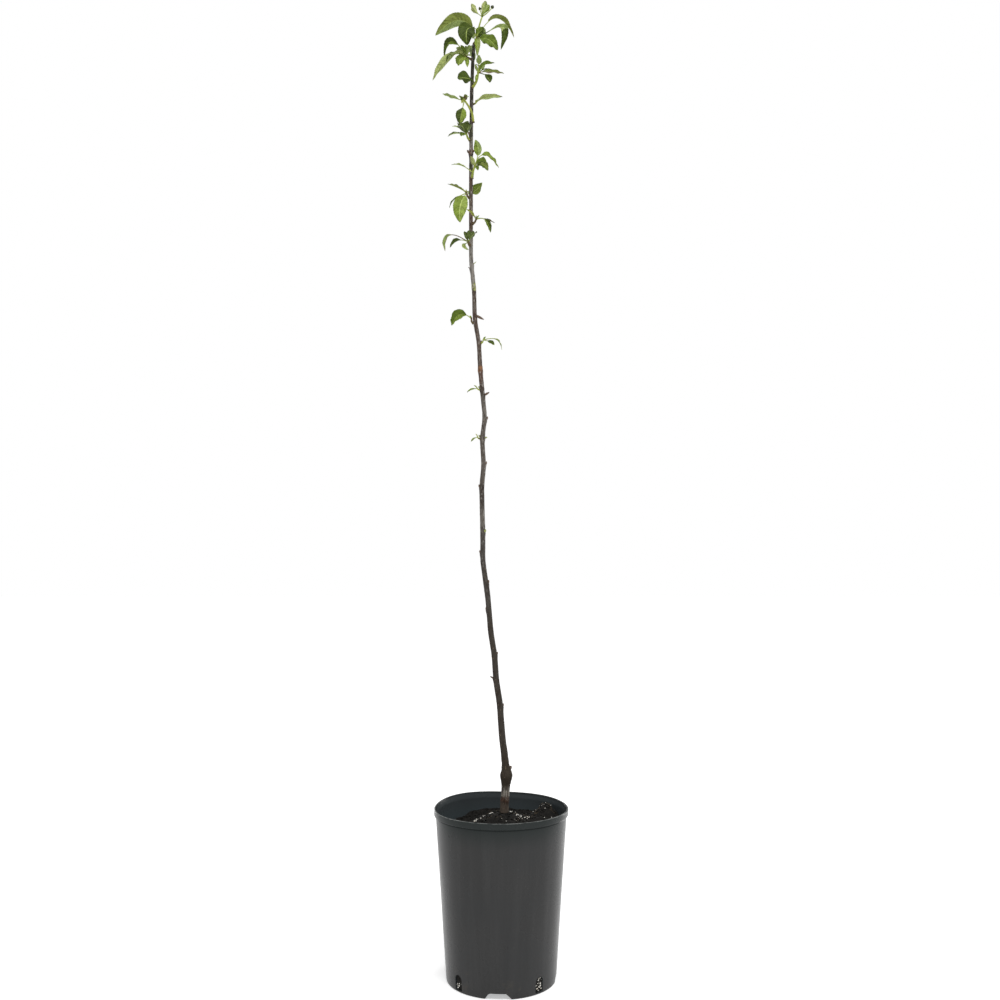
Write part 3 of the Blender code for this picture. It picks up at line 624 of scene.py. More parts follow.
def makeSoil(paint):
    foot = pot["floor"] + clear
    gap = pot["wall"] + clear
    edge = bodyRadius(soil["edge"]) - gap
    rings, sides = soil["rings"], soil["sides"]
    corners = [Vector((0, 0, soilSurface(0, 0)))]
    for ring in range(1, rings + 1):
        out = edge * ring / rings
        for k in range(sides):
            turn = math.tau * (k + 0.5 * (ring % 2)) / sides
            z = soilSurface(out * math.cos(turn), out * math.sin(turn))
            wall = bodyRadius(z) - gap
            corners.append(around(wall if ring == rings else min(out, wall), turn, z))
    rim = corners[-sides:]
    for share in soil["sideRows"]:
        for top in rim:
            z = top.z + (foot - top.z) * share
            corners.append(around(bodyRadius(z) - gap, math.atan2(top.y, top.x), z))
    last = len(corners) - sides
    corners.append(Vector((0, 0, foot)))
    steps = [(k, (k + 1) % sides) for k in range(sides)]
    faces = [(0, 1 + k, 1 + after) for k, after in steps]
    for low in range(1, last, sides):
        faces += [(low + k, low + sides + k, low + sides + after, low + after) for k, after in steps]
    faces += [(last + k, len(corners) - 1, last + after) for k, after in steps]
    body = addThing("pottingSoil", corners, faces, [paint])
    combine(body, covers(pot["cover"] + clear), "DIFFERENCE")
    smooth(body)
    return ownPiece(body, "potting_soil", "soil")


def makeSoilBits(soilPaint):
    rule = random.Random(soil["seed"])
    heap = Heap()
    reach = bodyRadius(soil["edge"]) - pot["wall"] - soil["inset"]

    def anywhere(share=1.0):
        return around(reach * math.sqrt(rule.random()) * share, rule.uniform(0, math.tau))

    def lay(x, y, size, tint, flat):
        centre = Vector((x, y, soilSurface(x, y) + size * soil["proud"]))
        lump(heap, centre, size, (1, rule.uniform(*soil["narrow"]), rule.uniform(*flat)), tint, rule)

    def strand(start, heading, bend, length):
        points = []
        steps = soil["fibreSteps"]
        for step in range(steps + 1):
            share = step / steps
            spot = start + around(1, heading + bend * share) * (length * share)
            if spot.length > reach:
                spot *= reach / spot.length
            lift = soil["fibreLift"] * math.sin(math.pi * share) * rule.random()
            spot.z = soilSurface(spot.x, spot.y) + soil["fibreClear"] + lift
            points.append(spot)
        pipe(heap, points, [soil["fibreThick"] * (1 - 0.5 * k / steps) for k in range(steps + 1)], 5, 2)

    for count, sizes, flat, tint in soil["scattered"]:
        for k in range(count):
            spot = anywhere()
            lay(spot.x, spot.y, rule.uniform(*sizes) * mm, tint, flat)
    for left, right, near, deep, count, size in soil["drifts"]:
        for k in range(count):
            lay(rule.uniform(left, right) * mm, rule.uniform(near, deep) * mm,
                size * rule.uniform(*soil["driftVary"]) * mm, 1, soil["driftFlat"])
    for k in range(soil["fibres"]):
        start = anywhere(soil["fibreReach"])
        heading, bend = rule.uniform(0, math.tau), rule.uniform(*soil["fibreBend"])
        strand(start, heading, bend, rule.uniform(*soil["fibreLength"]) * mm)
    for across, away, heading, length in soil["strands"]:
        strand(Vector((across, away, 0)) * mm, heading, rule.uniform(*soil["strandBend"]), length * mm)
    bits = soil["slotBits"]
    for k in range(4):
        side = (k + 0.5) * math.tau / 4 + math.radians(pot["turn"])
        for bit in range(bits["count"]):
            turn = side + rule.uniform(-bits["aside"], bits["aside"]) * mm / pot["footRadius"]
            z = rule.uniform(*bits["up"]) * mm
            out = bodyRadius(z) - pot["wall"] - rule.uniform(*bits["deep"]) * mm
            pale = rule.random() < bits["paleFront" if k == 3 else "pale"]
            lump(heap, around(out, turn, z), rule.uniform(*bits["size"]) * mm, bits["stretch"], int(pale), rule)
    paints = [soilPaint, makeGrainPaint("perlite", **soil["perlite"]), makeGrainPaint("rootFibre", **soil["fibre"])]
    return ownPiece(addHeap("soilBits", heap, paints), "potting_soil")


# The stem
stem = {
    # Height above the pot's foot, then how far it leans across and away, all in millimetres
    "lean": ((222.7, 4, 0), (228, 4, 0), (270, 7.1, 1), (281, 6.9, 1), (289, 5.2, 1), (300, 4.7, 1),
             (322, 1.5, 0), (369, -1.7, -2), (401, -6.8, -3), (434, -8.9, -3), (466, -14, -3), (515, -18.1, -3),
             (563, -25, -2), (596, -24.7, 0), (661, -26.4, 1), (693, -23.6, 2), (727, -26, 2), (757, -22, 3),
             (792, -25.7, 3), (823, -28.4, 3), (859, -30.3, 2), (889, -35.8, 0), (928, -36.6, 0),
             (969, -40.8, -1), (1100, -40.9, -1), (1196, -39.9, 0), (1244, -38.2, 0), (1260, -36.6, 0)),
    # Height above the soil and girth as a diameter, both in millimetres
    "girth": ((0, 12.8), (9, 11.4), (30, 11.3), (38, 12.3), (42.5, 14.8), (46.5, 16), (50.5, 18.6), (55, 13.8),
              (59, 11.2), (66, 10.5), (75, 9.8), (97, 9.1), (162, 8.3), (245, 7.7), (325, 7.0), (485, 6.4),
              (590, 6.0), (597, 7.2), (604, 6.0), (745, 5.5), (1037, 4.6)),
    "step": 1.0 * mm, "sides": 36, "ease": 9 * mm, "easeGirth": 3 * mm, "relief": 0.16 * mm, "seed": 17,
    # The bark's unevenness: waves around and up, where they start, and how much they count
    "grain": ((2.6, 70, 0, 0.9), (6, 260, 9, 0.6), (1.2, 24, 30, 1.2)),
    "pores": 420, "poreRise": (0.12, 0.24), "poreHigh": 1.1 * mm, "poreWide": 0.7 * mm, "poreReach": 2.4 * mm,
    # The cushion that a bud sits on: its rise, and how far it eases off below and above in millimetres
    "cushion": 0.8 * mm, "cushionBelow": 4.5, "cushionAbove": 1.3, "cushionReach": 9 * mm,
    # Buds: height in millimetres, side in degrees, length and thickness, lift in degrees, material
    "buds": ((281, 5, 4, 4.4, 60, 0), (366, 10, 3.4, 3, 72, 0), (404, 178, 5, 2.4, 30, 0),
             (436, 0, 3.2, 3, 72, 0), (496, 190, 3.4, 3, 70, 0), (532, -10, 4, 3.2, 78, 0),
             (573, 176, 3.2, 3, 66, 0), (601, -35, 3.8, 3.4, 60, 1), (662, 190, 3.2, 3, 70, 0),
             (693, 5, 3.4, 3, 72, 0), (729, -5, 3.6, 2.6, 10, 1), (754, 15, 3.6, 3.2, 66, 0),
             (787, 0, 7, 3.2, 30, 0), (857, 25, 3.6, 3, 70, 0), (894, -5, 11, 3.6, -28, 0),
             (927, -80, 3, 3, 40, 1), (1113, 190, 4.4, 3.6, 50, 0), (1115, -5, 3.2, 3.4, 40, 0),
             (730, 172, 3, 2.6, 50, 1), (796, 178, 3, 2.6, 50, 1), (963, 0, 5, 1.2, 40, 1),
             (957, 178, 3, 1.2, 40, 0), (934, -60, 2.6, 2.4, 70, 1), (1138, 185, 4, 3, 60, 0),
             (1110, -100, 3, 3, 60, 0)),
    # Rings and scars: height, half width and rise in millimetres
    "scars": ((239, 2.4, 0.5), (283, 2.0, 0.45), (289, 1.3, -0.35), (345, 1.0, 0.25), (522, 1.2, 0.2),
              (560, 1.0, 0.15), (655, 1.0, 0.2), (731, 1.2, 0.35), (796, 1.2, 0.35), (820, 1.6, 0.3),
              (931, 2.6, 0.3), (988, 1.0, 0.25), (1112, 1.0, 0.25), (1118, 0.8, 0.2)),
    # How the bark's tone runs up the stem: height in millimetres and the tone's name
    "tones": ((222, "fawn"), (235, "fawn"), (238, "knot"), (241, "knot"), (246, "ashy"), (252, "ashy"),
              (260, "callus"), (286, "callus"), (330, "smooth"), (480, "smooth"), (512, "slate"),
              (535, "smooth"), (572, "slate"), (596, "slate"), (612, "streaky"), (622, "streaky"),
              (644, "dusk"), (655, "dusk"), (676, "dun"), (745, "dun"), (766, "silver"), (788, "dusk"),
              (817, "wine"), (823, "amber"), (828, "lilac"), (868, "lilac"), (882, "dun"), (890, "wine"),
              (902, "dun"), (926, "russet"), (931, "moss"), (940, "pale")),
    # and on up, from the same height; the night stretches among the tufts and at the top are painted shade of the
    # crown
    "highTones": ((940, "pale"), (985, "pale"), (1012, "russet"), (1024, "wine"), (1036, "lilac"),
                  (1056, "lilac"), (1068, "russet"), (1082, "wine"), (1092, "olive"), (1106, "night"),
                  (1112, "wine"), (1118, "wine"), (1124, "silver"), (1140, "olive"), (1150, "dusk"),
                  (1166, "night"), (1176, "dusk"), (1200, "dusk"), (1208, "olive"), (1216, "night"),
                  (1262, "night")),
    "palette": {"fawn": (87, 77, 68), "knot": (76, 55, 44), "ashy": (104, 98, 90), "callus": (57, 50, 41),
                "smooth": (59, 54, 48), "slate": (68, 64, 60), "streaky": (96, 91, 85), "dusk": (62, 56, 51),
                "dun": (84, 78, 72), "silver": (105, 100, 93), "wine": (82, 63, 55), "amber": (140, 98, 64),
                "lilac": (82, 71, 64), "russet": (76, 63, 53), "moss": (120, 120, 72), "pale": (124, 120, 114),
                "olive": (92, 92, 66), "night": (42, 42, 30)},
    # Marks over those tones, each with its own noise in makeBarkPaint
    "marks": {"stain": (42, 34, 28), "flake": (180, 176, 168), "blot": (30, 29, 22), "scurf": (178, 172, 162),
              "pore": (150, 132, 108), "tinge": (100, 58, 46)},
    "budTones": {"budBrown": ((66, 50, 40), (108, 86, 68)), "budGreen": ((112, 120, 66), (150, 154, 88))},
    "budGrain": {"gloss": 0.4, "blotch": (0.0018, 3, 0.6), "turnover": (0.35, 0.65), "rough": 0.5,
                 "roughShare": 0.2, "deep": 0.0003},
    "budSteps": 16, "budSink": 1.2,    # how far a bud starts inside the stem, in millimetres
}


def stemCentre(z):
    across, away = between(stem["lean"], z / mm)
    return Vector((across * mm, away * mm, z))


def stemRadius(z):
    return between(stem["girth"], z / mm - stem["lean"][0][0])[0] * mm / 2


stemFoot = stemCentre(stem["lean"][0][0] * mm)
soilPaint = makeSoilPaint()
pottingSoil = makeSoil(soilPaint)
soilBits = makeSoilBits(soilPaint)
print("soil:", len(pottingSoil.data.polygons) + len(soilBits.data.polygons), "faces")


def makeBarkPaint():
    paint = Paint("youngBark", Specular_IOR_Level=0.16)
    spot = paint.place()
    marks = seenAll(stem["marks"])
    rise = paint.axis(spot, "Z") * 1000 + (paint.noise(spot, 0.007, 3, 0.6) - 0.5) * 14
    ramps = []
    for rows in (stem["tones"], stem["highTones"]):    # a ramp takes 32 stops
        low, high = rows[0][0], rows[-1][0]
        ramps.append(paint.ramp((rise - low) * (1 / (high - low)),
                                [((z - low) / (high - low), seen(*stem["palette"][tone])) for z, tone in rows]))
    colour = paint.mix(rise.rise(low, low + 1), *ramps)
    height = rise * (1 / stem["lean"][-1][0])
    patches = paint.noise(paint.place(1, 1, 0.35), 0.0035, 3, 0.6)
    silver = paint.noise(paint.place(1, 1, 0.22), 0.0013, 3, 0.65)
    flakes = silver.rise(0.55, 0.66) * height.rise(0.36, 0.52)
    colour = paint.mix(patches.rise(0.5, 0.62) * 0.6, colour, marks["stain"])
    colour = paint.mix(flakes * 0.5, colour, marks["flake"])    # silvery skin on the upper half
    crownShadeBlots = paint.noise(paint.place(1, 1, 0.5), 0.005, 3, 0.6).rise(0.5, 0.6) * height.rise(0.84, 0.88)
    colour = paint.mix(crownShadeBlots * 0.75, colour, marks["blot"])    # painted shade: dark blots near the tip, where the crown shades the stem
    foot = silver.rise(0.5, 0.58) * height.rise(0.19, 0.196) * height.rise(0.207, 0.2)
    colour = paint.mix(foot * 0.7, colour, marks["scurf"])    # pale scurf under the graft
    dots = paint.cells(paint.place(1, 1, 0.6), 0.0034).rise(0.2, 0.1)
    colour = paint.mix(dots * 0.45, colour, marks["pore"])
    tinge = paint.noise(spot, 0.02, 2, 0.5).rise(0.55, 0.75) * height.rise(0.6, 0.8)
    colour = paint.mix(tinge * 0.3, colour, marks["tinge"])
    rough = 0.62 + patches * 0.2 - flakes * 0.12
    return paint.finish(colour, rough, patches * 0.8 + silver * 0.5 + dots * 0.6, 0.0005)


def makeStem(paint):
    rule = random.Random(stem["seed"])
    low, high = stem["lean"][0][0] * mm, stem["lean"][-1][0] * mm
    rows = round((high - low) / stem["step"])
    sides = stem["sides"]
    pores = sorted((rule.uniform(low, high), rule.uniform(0, math.tau), rule.uniform(*stem["poreRise"]) * mm)
                   for k in range(stem["pores"]))
    rings = []
    for row in range(rows + 1):
        z = low + (high - low) * row / rows
        across, away = eased(stem["lean"], z / mm, stem["ease"] / mm)
        girth = eased(stem["girth"], (z - low) / mm, stem["easeGirth"] / mm)[0] * mm / 2
        near = [pore for pore in pores if abs(pore[0] - z) < stem["poreReach"]]
        ring = []
        for k in range(sides):
            turn = math.tau * k / sides
            out = around(1, turn)
            rise = stem["relief"] * sum(
                noise.noise(Vector((out.x * wide, out.y * wide, z * fine + shift))) * share
                for wide, fine, shift, share in stem["grain"])
            for at, half, lift in stem["scars"]:
                if abs(z - at * mm) < 3 * half * mm:
                    wave = noise.noise(Vector((out.x, out.y, at)))
                    rise += lift * mm * (0.75 + 0.5 * wave) * math.exp(-((z / mm - at) / half) ** 2)
            for at, side, *shape in stem["buds"]:
                aside = math.cos(turn - math.radians(side))
                if aside > 0 and abs(z - at * mm) < stem["cushionReach"]:
                    below = at - z / mm
                    ease = stem["cushionBelow" if below > 0 else "cushionAbove"]
                    rise += stem["cushion"] * aside ** 3 * math.exp(-(below / ease) ** 2)
            for at, side, lift in near:
                gap = math.remainder(turn - side, math.tau) * girth
                rise += lift * math.exp(-((z - at) / stem["poreHigh"]) ** 2 - (gap / stem["poreWide"]) ** 2)
            ring.append(Vector((across * mm, away * mm, z)) + out * (girth + rise))
        rings.append(ring)
    heap = Heap()
    heap.loft(rings, 0)
    return ownPiece(addHeap("barkStem", heap, [paint]), "bark", "trunk")


# A bud: a pointed body with overlapping scales, given as a path and how thick it is
def bud(heap, root, aim, length, thick, tint, sides=14):
    steps = stem["budSteps"]
    points = [root + aim * (length * k / steps) for k in range(steps + 1)]
    radii = []
    for k in range(steps + 1):
        u = k / steps
        plump = thick / 2 * (math.sin(math.pi * min(1.0, 0.28 + 0.72 * u) ** 1.1) ** 0.75 if u < 1 else 0)
        scale = 1 + 0.10 * ((u * 4.2) % 1.0)
        radii.append(max(0.08 * mm, plump * scale / 1.05))
    pipe(heap, points, radii, sides, tint)


def makeBuds(paints):
    heap = Heap()
    for height, side, length, thick, lift, kind in stem["buds"]:
        turn, tilt = math.radians(side), math.radians(lift)
        out = around(1, turn)
        aim = out * math.cos(tilt) + Vector((0, 0, 1)) * math.sin(tilt)
        root = stemCentre(height * mm) + out * (stemRadius(height * mm) * 0.75)
        bud(heap, root, aim, (length + stem["budSink"]) * mm, thick * mm, kind)
    return ownPiece(addHeap("stemBuds", heap, paints), "bark")


barkStem = makeStem(makeBarkPaint())
stemBuds = makeBuds([makeGrainPaint(name, tones=tones, **stem["budGrain"])
                     for name, tones in stem["budTones"].items()])
print("stem:", len(barkStem.data.polygons) + len(stemBuds.data.polygons), "faces")


# The leaves and green twigs
leafLook = {
    "thick": 0.34 * mm, "edgeThick": 0.16 * mm, "stalkWide": 1.4 * mm, "stalkThick": 1.2 * mm, "tipWide": 0.3 * mm,
    "veinRows": (0, 0.045, 0.28, 0.5, 0.72, 0.955), "veinLean": 0.8, "samples": 60,
    "smallWide": 6.5 * mm, "bractWide": 3 * mm, "bractRows": 9, "curledArch": 0.4,
    "columns": (0, 0.04, 0.12, 0.25, 0.41, 0.58, 0.74, 0.88, 1.0), "bractColumns": (0, 0.4, 0.8, 1.0),
    "tooth": 0.2 * mm, "toothFull": 4 * mm, "veinGap": 4.6 * mm, "quilt": 0.5 * mm, "veinRise": 0.12 * mm,
    "ribRise": 0.42 * mm, "ribWide": 0.55 * mm, "groove": 0.1 * mm, "shapeFull": 3 * mm,
    "fold": 1.35, "wave": 0.075, "cup": 0.08, "roll": 0.14, "wobble": 9, "gloss": 0.14, "seed": 7,
    "palette": {
        "dark": (58, 72, 18), "deep": (48, 60, 14), "mid": (86, 104, 32), "fresh": (112, 130, 50),
        "spring": (130, 147, 68), "pale": (134, 144, 84), "cream": (148, 156, 98),
        "olive": (104, 114, 50), "brown": (82, 70, 46), "night": (34, 40, 16), "lime": (140, 146, 66),
        "under": (126, 142, 80), "underDark": (74, 87, 38), "rib": (138, 152, 80), "ribPale": (178, 190, 118),
        "red": (116, 62, 46), "mauve": (106, 92, 70),
        "stalkGreen": (140, 152, 72), "stalkRed": (118, 76, 58), "twigBrown": (84, 72, 50),
        "twigGreen": (136, 146, 66),
    },
    "veined": ("dark", "deep", "mid", "fresh", "spring", "pale", "olive", "under", "underDark"), "veinShare": 0.28,
    "light": ("fresh", "spring", "pale"), "woody": ("twigBrown", "stalkRed", "brown"),
    # The tiny leaves beside a leaf's foot and round a twig's bud, in millimetres and degrees
    "stipule": {"arch": 0.12, "wide": (0.9, 1.5), "face": (0, 80), "tones": ("lime", "fresh", "olive"), "fold": 0.4},
    "bract": {"arch": 0.1, "wide": (1.4, 2.6), "face": (20, 90), "tones": ("lime", "fresh", "pale"), "fold": 0.35},
    "bracts": 3, "lowBracts": 1, "bractsFrom": 980 * mm,    # how many, and the stem's height from which they are more
    "stalkSteps": 8, "stalkSides": 10,
    "mottle": (0.84, 1.16), "rough": 0.5, "roughWoody": 0.64,
}
for veined in leafLook["veined"]:    # side veins are a little nearer the midrib's tone
    leafLook["palette"][veined + "Vein"] = tuple(
        blade + (rib - blade) * leafLook["veinShare"]
        for blade, rib in zip(leafLook["palette"][veined], leafLook["palette"]["rib"]))
smallSteps, bladeSteps, curledSteps = 3, 5, 6    # the source's rule, which sets how a leaf is turned
collar = 1.6 * mm
farLeaves = {"heading": (62, 118), "reach": (24, 36), "lift": (10, 34), "wide": (11, 15), "arch": (0.1, 0.3),
             "face": (-20, 20), "stalk": 0.3}


# One leaf: where its tip lies from the end of its twig (across, away from the viewer, up), the blade's
# width, the way its upper side faces (0 up, 90 at the viewer), the share that is stalk, its tone, how
# high the midrib arches as a share of the straight distance, how far that arch is pushed to the tip and
# which way it is swung, how much the blade twists, how far along the twig it stands, the tones of its
# other half, tip, underside, rim and stalk, where it is widest, how it sways up and down, and where the
# tip's tone starts. Millimetres and degrees.
def leaf(across, away, up, wide, face, stalk, tone, arch=0.1, lead=0.1, swing=0, twist=0, at=1.0, half=None,
         tip=None, under="under", rim=None, stem="stalkGreen", belly=0.85, sway=0.0, tipFrom=0.8):
    return {"tip": Vector((across, away, up)) * mm, "arch": arch, "lead": lead, "swing": swing,
            "belly": belly, "sway": sway, "tipFrom": tipFrom,
            "wide": wide * mm, "face": face, "twist": twist, "stalk": stalk, "at": at,
            "tones": (tone, half or tone, tip, under, rim or tone, stem)}


# One twig: its end from where it starts, its bow, its thickness, its tone, its leaves
def twig(across, away, up, bow, thick, tone, leaves, more=()):
    return {"end": Vector((across, away, up)) * mm, "bow": bow, "thick": thick * mm, "tone": tone,
            "leaves": leaves, "more": list(more)}


# One tuft: its number, the height on the stem, the side it grows from, how many leaves it has on the far
# side, and its twigs, of which the later ones start at the first one's end
def tuft(number, height, side, far, twigs):
    return {"name": f"tuft_{number:02d}", "height": height * mm, "side": math.radians(side), "far": far,
            "seed": number, "twigs": twigs}


tufts = (
    tuft(1, 728, 190, 0, [twig(-6, -1, 2, 0, 2.2, "twigGreen", [
        leaf(-9, 2, -6, 4, 40, 0.15, "fresh")])]),
    tuft(2, 794, 190, 0, [twig(-6.5, -1, 2, 0, 2.2, "twigGreen", [
        leaf(-14, 3, -5, 5, 35, 0.1, "fresh", 0.08, tip="brown")])]),
    tuft(3, 857, -20, 0, [twig(6, -2, 4, 0, 2.4, "twigGreen", [
        leaf(15, -6, -8, 6, 60, 0.3, "dark", 0.1, tip="lime"),
        leaf(25, 6, -12, 6, 14, 0.3, "lime", 0.32)])]),
    tuft(4, 884, 190, 0, [twig(-5.4, -1, 6, 0, 3, "twigBrown", [
        leaf(-27, 8, -8, 15, 85, 0.2, "mid", 0.36, -0.05, half="fresh")])]),
    tuft(5, 989, -130, 0, [twig(-3.4, -7, 2, 0, 3.4, "twigBrown", [
        leaf(10, -20, 6, 15, 0, 0.15, "dark", 0.12, under="underDark"),
        leaf(-5, -12, 11, 8, 0, 0.15, "dark", 0.05, under="underDark"),
        leaf(1, -6, -12, 6, 60, 0.15, "pale", 0.5, swing=-90),
        leaf(-24.5, -6, -9, 8, 45, 0.4, "dark", 0.22, -0.13, half="night", under="underDark"),
        leaf(-32, 14, -8, 7, -12, 0.4, "olive", 0.52, 0.36, under=("mauve", "under"), rim="red", stem="mauve",
             belly=1.2)])]),
    tuft(6, 1018, -15, 0, [twig(7, -2, 5, 0, 3.4, "twigBrown", [
        leaf(25.5, 12, -1, 6, 20, 0.55, "night", 0.11, -0.4, under="brown"),
        leaf(19.6, -8, -20, 8, 60, 0.45, "mid", 0.27, -0.2, half="dark"),
        leaf(-13, -12, 10, 5, 0, 0.1, "lime", 0.1, under="lime")])]),
    tuft(7, 1053, 205, 1, [twig(-6, -3, 5, 0, 3.4, "twigBrown", [
        leaf(-8, -12, -43, 20, 90, 0.1, "fresh", 0.15, half="spring"),
        leaf(-26, 14, 17.5, 9, -5, 0.3, "olive", 0.05, -0.3, under=("dark", "olive"), tip="dark"),
        leaf(21, 16, 20, 15, 90, 0.3, "spring", 0.3, swing=118, half="fresh"),
        leaf(-23, 2, -19, 5, 26, 0.25, "dark", 0.15)])]),
    tuft(8, 1079, -60, 0, [twig(5, -7, 13, 0.1, 3.6, "twigGreen", [
        leaf(-5, -5, 13, 6, -80, 0.1, "cream", 0.05, under="cream"),
        leaf(1, -4, 35, 13, -90, 0.38, "mid", 0.12, swing=90, under=("fresh", "under"), rim="red"),
        leaf(32.8, 10, 2.4, 11, 40, 0.4, "mid", 0.5, -0.15, half="fresh", tip="pale", rim="red", tipFrom=0.9),
        leaf(16, -8, 3, 13, 60, 0.15, "dark", 0.25, half="mid"),
        leaf(18, 6, -3, 12, 70, 0.15, "mid", 0.3, half="olive"),
        leaf(5, -10, -8, 6, 60, 0.15, "mid", 0.1),
        leaf(-29, 1, 11, 5, 22, 0.3, "pale", 0.12, at=0.6, tip="dark")])]),
    tuft(9, 1131, 215, 0, [twig(-6, -6, 5, 0, 3.2, "twigGreen", [
        leaf(-10, -16, 8, 19, 0, 0.1, "dark", 0.15, under="underDark"),
        leaf(4, -14, 8, 12, 0, 0.1, "dark", 0.1, under="underDark"),
        leaf(-20, 12, 16, 7, 30, 0.3, "pale", 0.1),
        leaf(-25, -4, -4, 7, 30, 0.2, "dark", 0.12),
        leaf(-7, -10, -6, 8, 60, 0.15, "mid", 0.2)])]),
    tuft(10, 1155, -30, 1, [twig(-9, -9, 26, 0.08, 3.4, "lime", [
        leaf(-30, 12, 14, 10, -10, 0.18, "fresh", -0.03),
        leaf(-6, -5, -34, 15, 80, 0.27, "dark", 0.02, half="fresh"),
        leaf(2, -3, 4, 6, -60, 0.1, "olive", 0, under="brown"),
        leaf(-5, -2, 3, 6, -60, 0.1, "dark", 0, under="dark")],
        [leaf(4, -5, 5, 5, -30, 0.1, "olive", 0.3, under="olive"),
         leaf(-3, -4, -6, 4, 60, 0.2, "lime", 0.2, under="pale")])]),
    tuft(11, 1180, 0, 0, [twig(6, 0, 2, 0, 2.6, "twigGreen", [
        leaf(36, 12, 13, 10, -25, 0.08, "fresh", 0.08, -0.2, under=("pale", "under"), tip="night", tipFrom=0.93)])]),
    tuft(12, 1201, -70, 2, [twig(8.6, -7, 18, -0.1, 3.6, "lime", [
        leaf(35, 14, 5.5, 10, -8, 0.22, "olive", 0.06, -0.2, under=("olive", "mauve"), rim="mauve",
             stem="stalkRed"),
        leaf(16, -10, -17.5, 10, 70, 0.3, "dark", 0.15, belly=1.8, stem="dark"),
        leaf(22.2, -12, 8, 10, 10, 0.1, "olive", 0.17, under=("mid", "brown"), tip="night", belly=0.8, sway=1.2,
             tipFrom=0.86),
        leaf(1, -3, 23, 9, -80, 0.4, "pale", -0.1),
        leaf(-23, -14, 1, 20, 62, 0.1, "dark", 0.15, -0.3, at=0.45, half="deep", belly=2.1),
        leaf(-3, -6, -14, 4, 80, 0.15, "fresh", 0.05),
        leaf(16, 2, 5, 4, 40, 0.2, "mid", 0.15),
        leaf(-4, -2, 11, 4, -80, 0.1, "fresh", 0)])]),
    tuft(13, 1240, 205, 2, [twig(-9, -5, 2, 0, 3.2, "twigBrown", [
        leaf(-44.3, -12, -37.5, 11, -40, 0.34, "mid", 0.2, -0.35, under=("pale", "pale"), stem="stalkRed"),
        leaf(-30, 16, 5, 11, 95, 0.25, "dark", 0.64, 0.5, twist=-50, half="mid", under="underDark"),
        leaf(-13, -8, 8, 8, -60, 0.1, "fresh", 0.08, under=("pale", "under")),
        leaf(-26, -9, -11, 7, 26, 0.2, "dark", 0.25),
        leaf(-10, -12, -18, 14, 80, 0.1, "mid", 0.15, half="fresh"),
        leaf(2, -6, -17, 6, 80, 0.1, "fresh", 0.08),
        leaf(1, -3, 13, 4, -80, 0.1, "pale", 0.05),
        leaf(5, -6, 13, 6, -80, 0.1, "pale", 0.05)],
        [leaf(-7, -9, 11, 6, -50, 0.1, "mid", 0.1, under="mid"),
         leaf(-16, -10, 1, 7, -30, 0.1, "fresh", 0.1, under="pale"),
         leaf(-9, -3, -3, 6, 60, 0.1, "olive", 0.1, under="pale")])]),
    tuft(14, 1260, 90, 3, [twig(3.6, -3, 6, 0, 3.8, "twigBrown", [
        leaf(-56.4, 8, 8.8, 20, -50, 0.1, "mid", 0.41, -0.12, under=("under", "olive"), belly=1.2, sway=-1.0),
        leaf(11, -6, 11, 14, 60, 0.1, "dark", 0.2, half="mid"),
        leaf(32.5, -10, -19, 11, 60, 0.16, "pale", 0.70, 0.38, twist=-30, half="under", under=("pale", "under"),
             tip="dark", stem="dark", belly=1.35, tipFrom=0.48),
        leaf(50.5, 16, 10, 13, 0, 0.3, "olive", 0.5, 0.2, under=("olive", "under"), rim="red", belly=0.78),
        leaf(28.5, -16, -22.5, 17, 85, 0.12, "mid", 0.16, -0.12, rim="red"),
        leaf(1, -14, -30, 9, 85, 0.15, "fresh", 0.3, half="pale")]),
        twig(7.4, -1, 30, 0.03, 2.6, "stalkGreen", [
            leaf(-14.5, 5, 20, 8, -60, 0.08, "pale", -0.1, under="cream", belly=2.1),
            leaf(5, -4, 19, 10, -80, 0.06, "fresh", 0.05, under=("cream", "under"), belly=1.5),
            leaf(15, -4, 13, 5, -60, 0.72, "night", -0.08, under="night", belly=1.0),
            leaf(-4, 2, 14, 4, -60, 0.6, "night", 0, under="night"),
            leaf(-14, -18, -29, 25, 75, 0.15, "dark", 0.35, at=0.4, half="deep", belly=1.25)],
            [leaf(10, -5, 13, 8, -70, 0.06, "fresh", 0.05, under=("under", "fresh"), belly=1.6)])]),
)
toneNames = list(leafLook["palette"])


# A living surface in one plain colour, with fine cells and a soft mottle that has no place of its own
def makeLeafPaint(name, colour):
    paint = Paint("leaf" + name[0].upper() + name[1:], Specular_IOR_Level=leafLook["gloss"])
    spot = paint.place()
    mottle = paint.noise(spot, 0.004, 3, 0.6)
    cells = paint.cells(spot, 0.0011, "DISTANCE_TO_EDGE")
    deep, light = (tuple(min(1.0, c * share) for c in colour) for share in leafLook["mottle"])
    rough = leafLook["roughWoody" if name in leafLook["woody"] else "rough"] + mottle * 0.14
    height = cells.rise(0.0, 0.25) * 0.5 + mottle * 0.8
    return paint.finish(paint.mix(mottle.rise(0.35, 0.65), deep, light), rough, height, 0.00007)


def humpOf(start, stop, arch, lead, swing):
    chord = stop - start
    along = chord.normalized()
    flat = Vector((chord.x, chord.y, 0))
    side = Vector((-flat.y, flat.x, 0)).normalized() if flat.length > 0.0001 else Vector((0, 1, 0))
    lean = along.cross(side)
    turn = math.radians(swing)
    aside = lean * math.cos(turn) + side * math.sin(turn)
    return (start + stop) / 2 + chord * lead + aside * (2 * arch * chord.length)


def bladeShare(u, belly):
    return math.sin(math.pi * u ** belly) ** 0.8 if 0 < u < 1 else 0.0


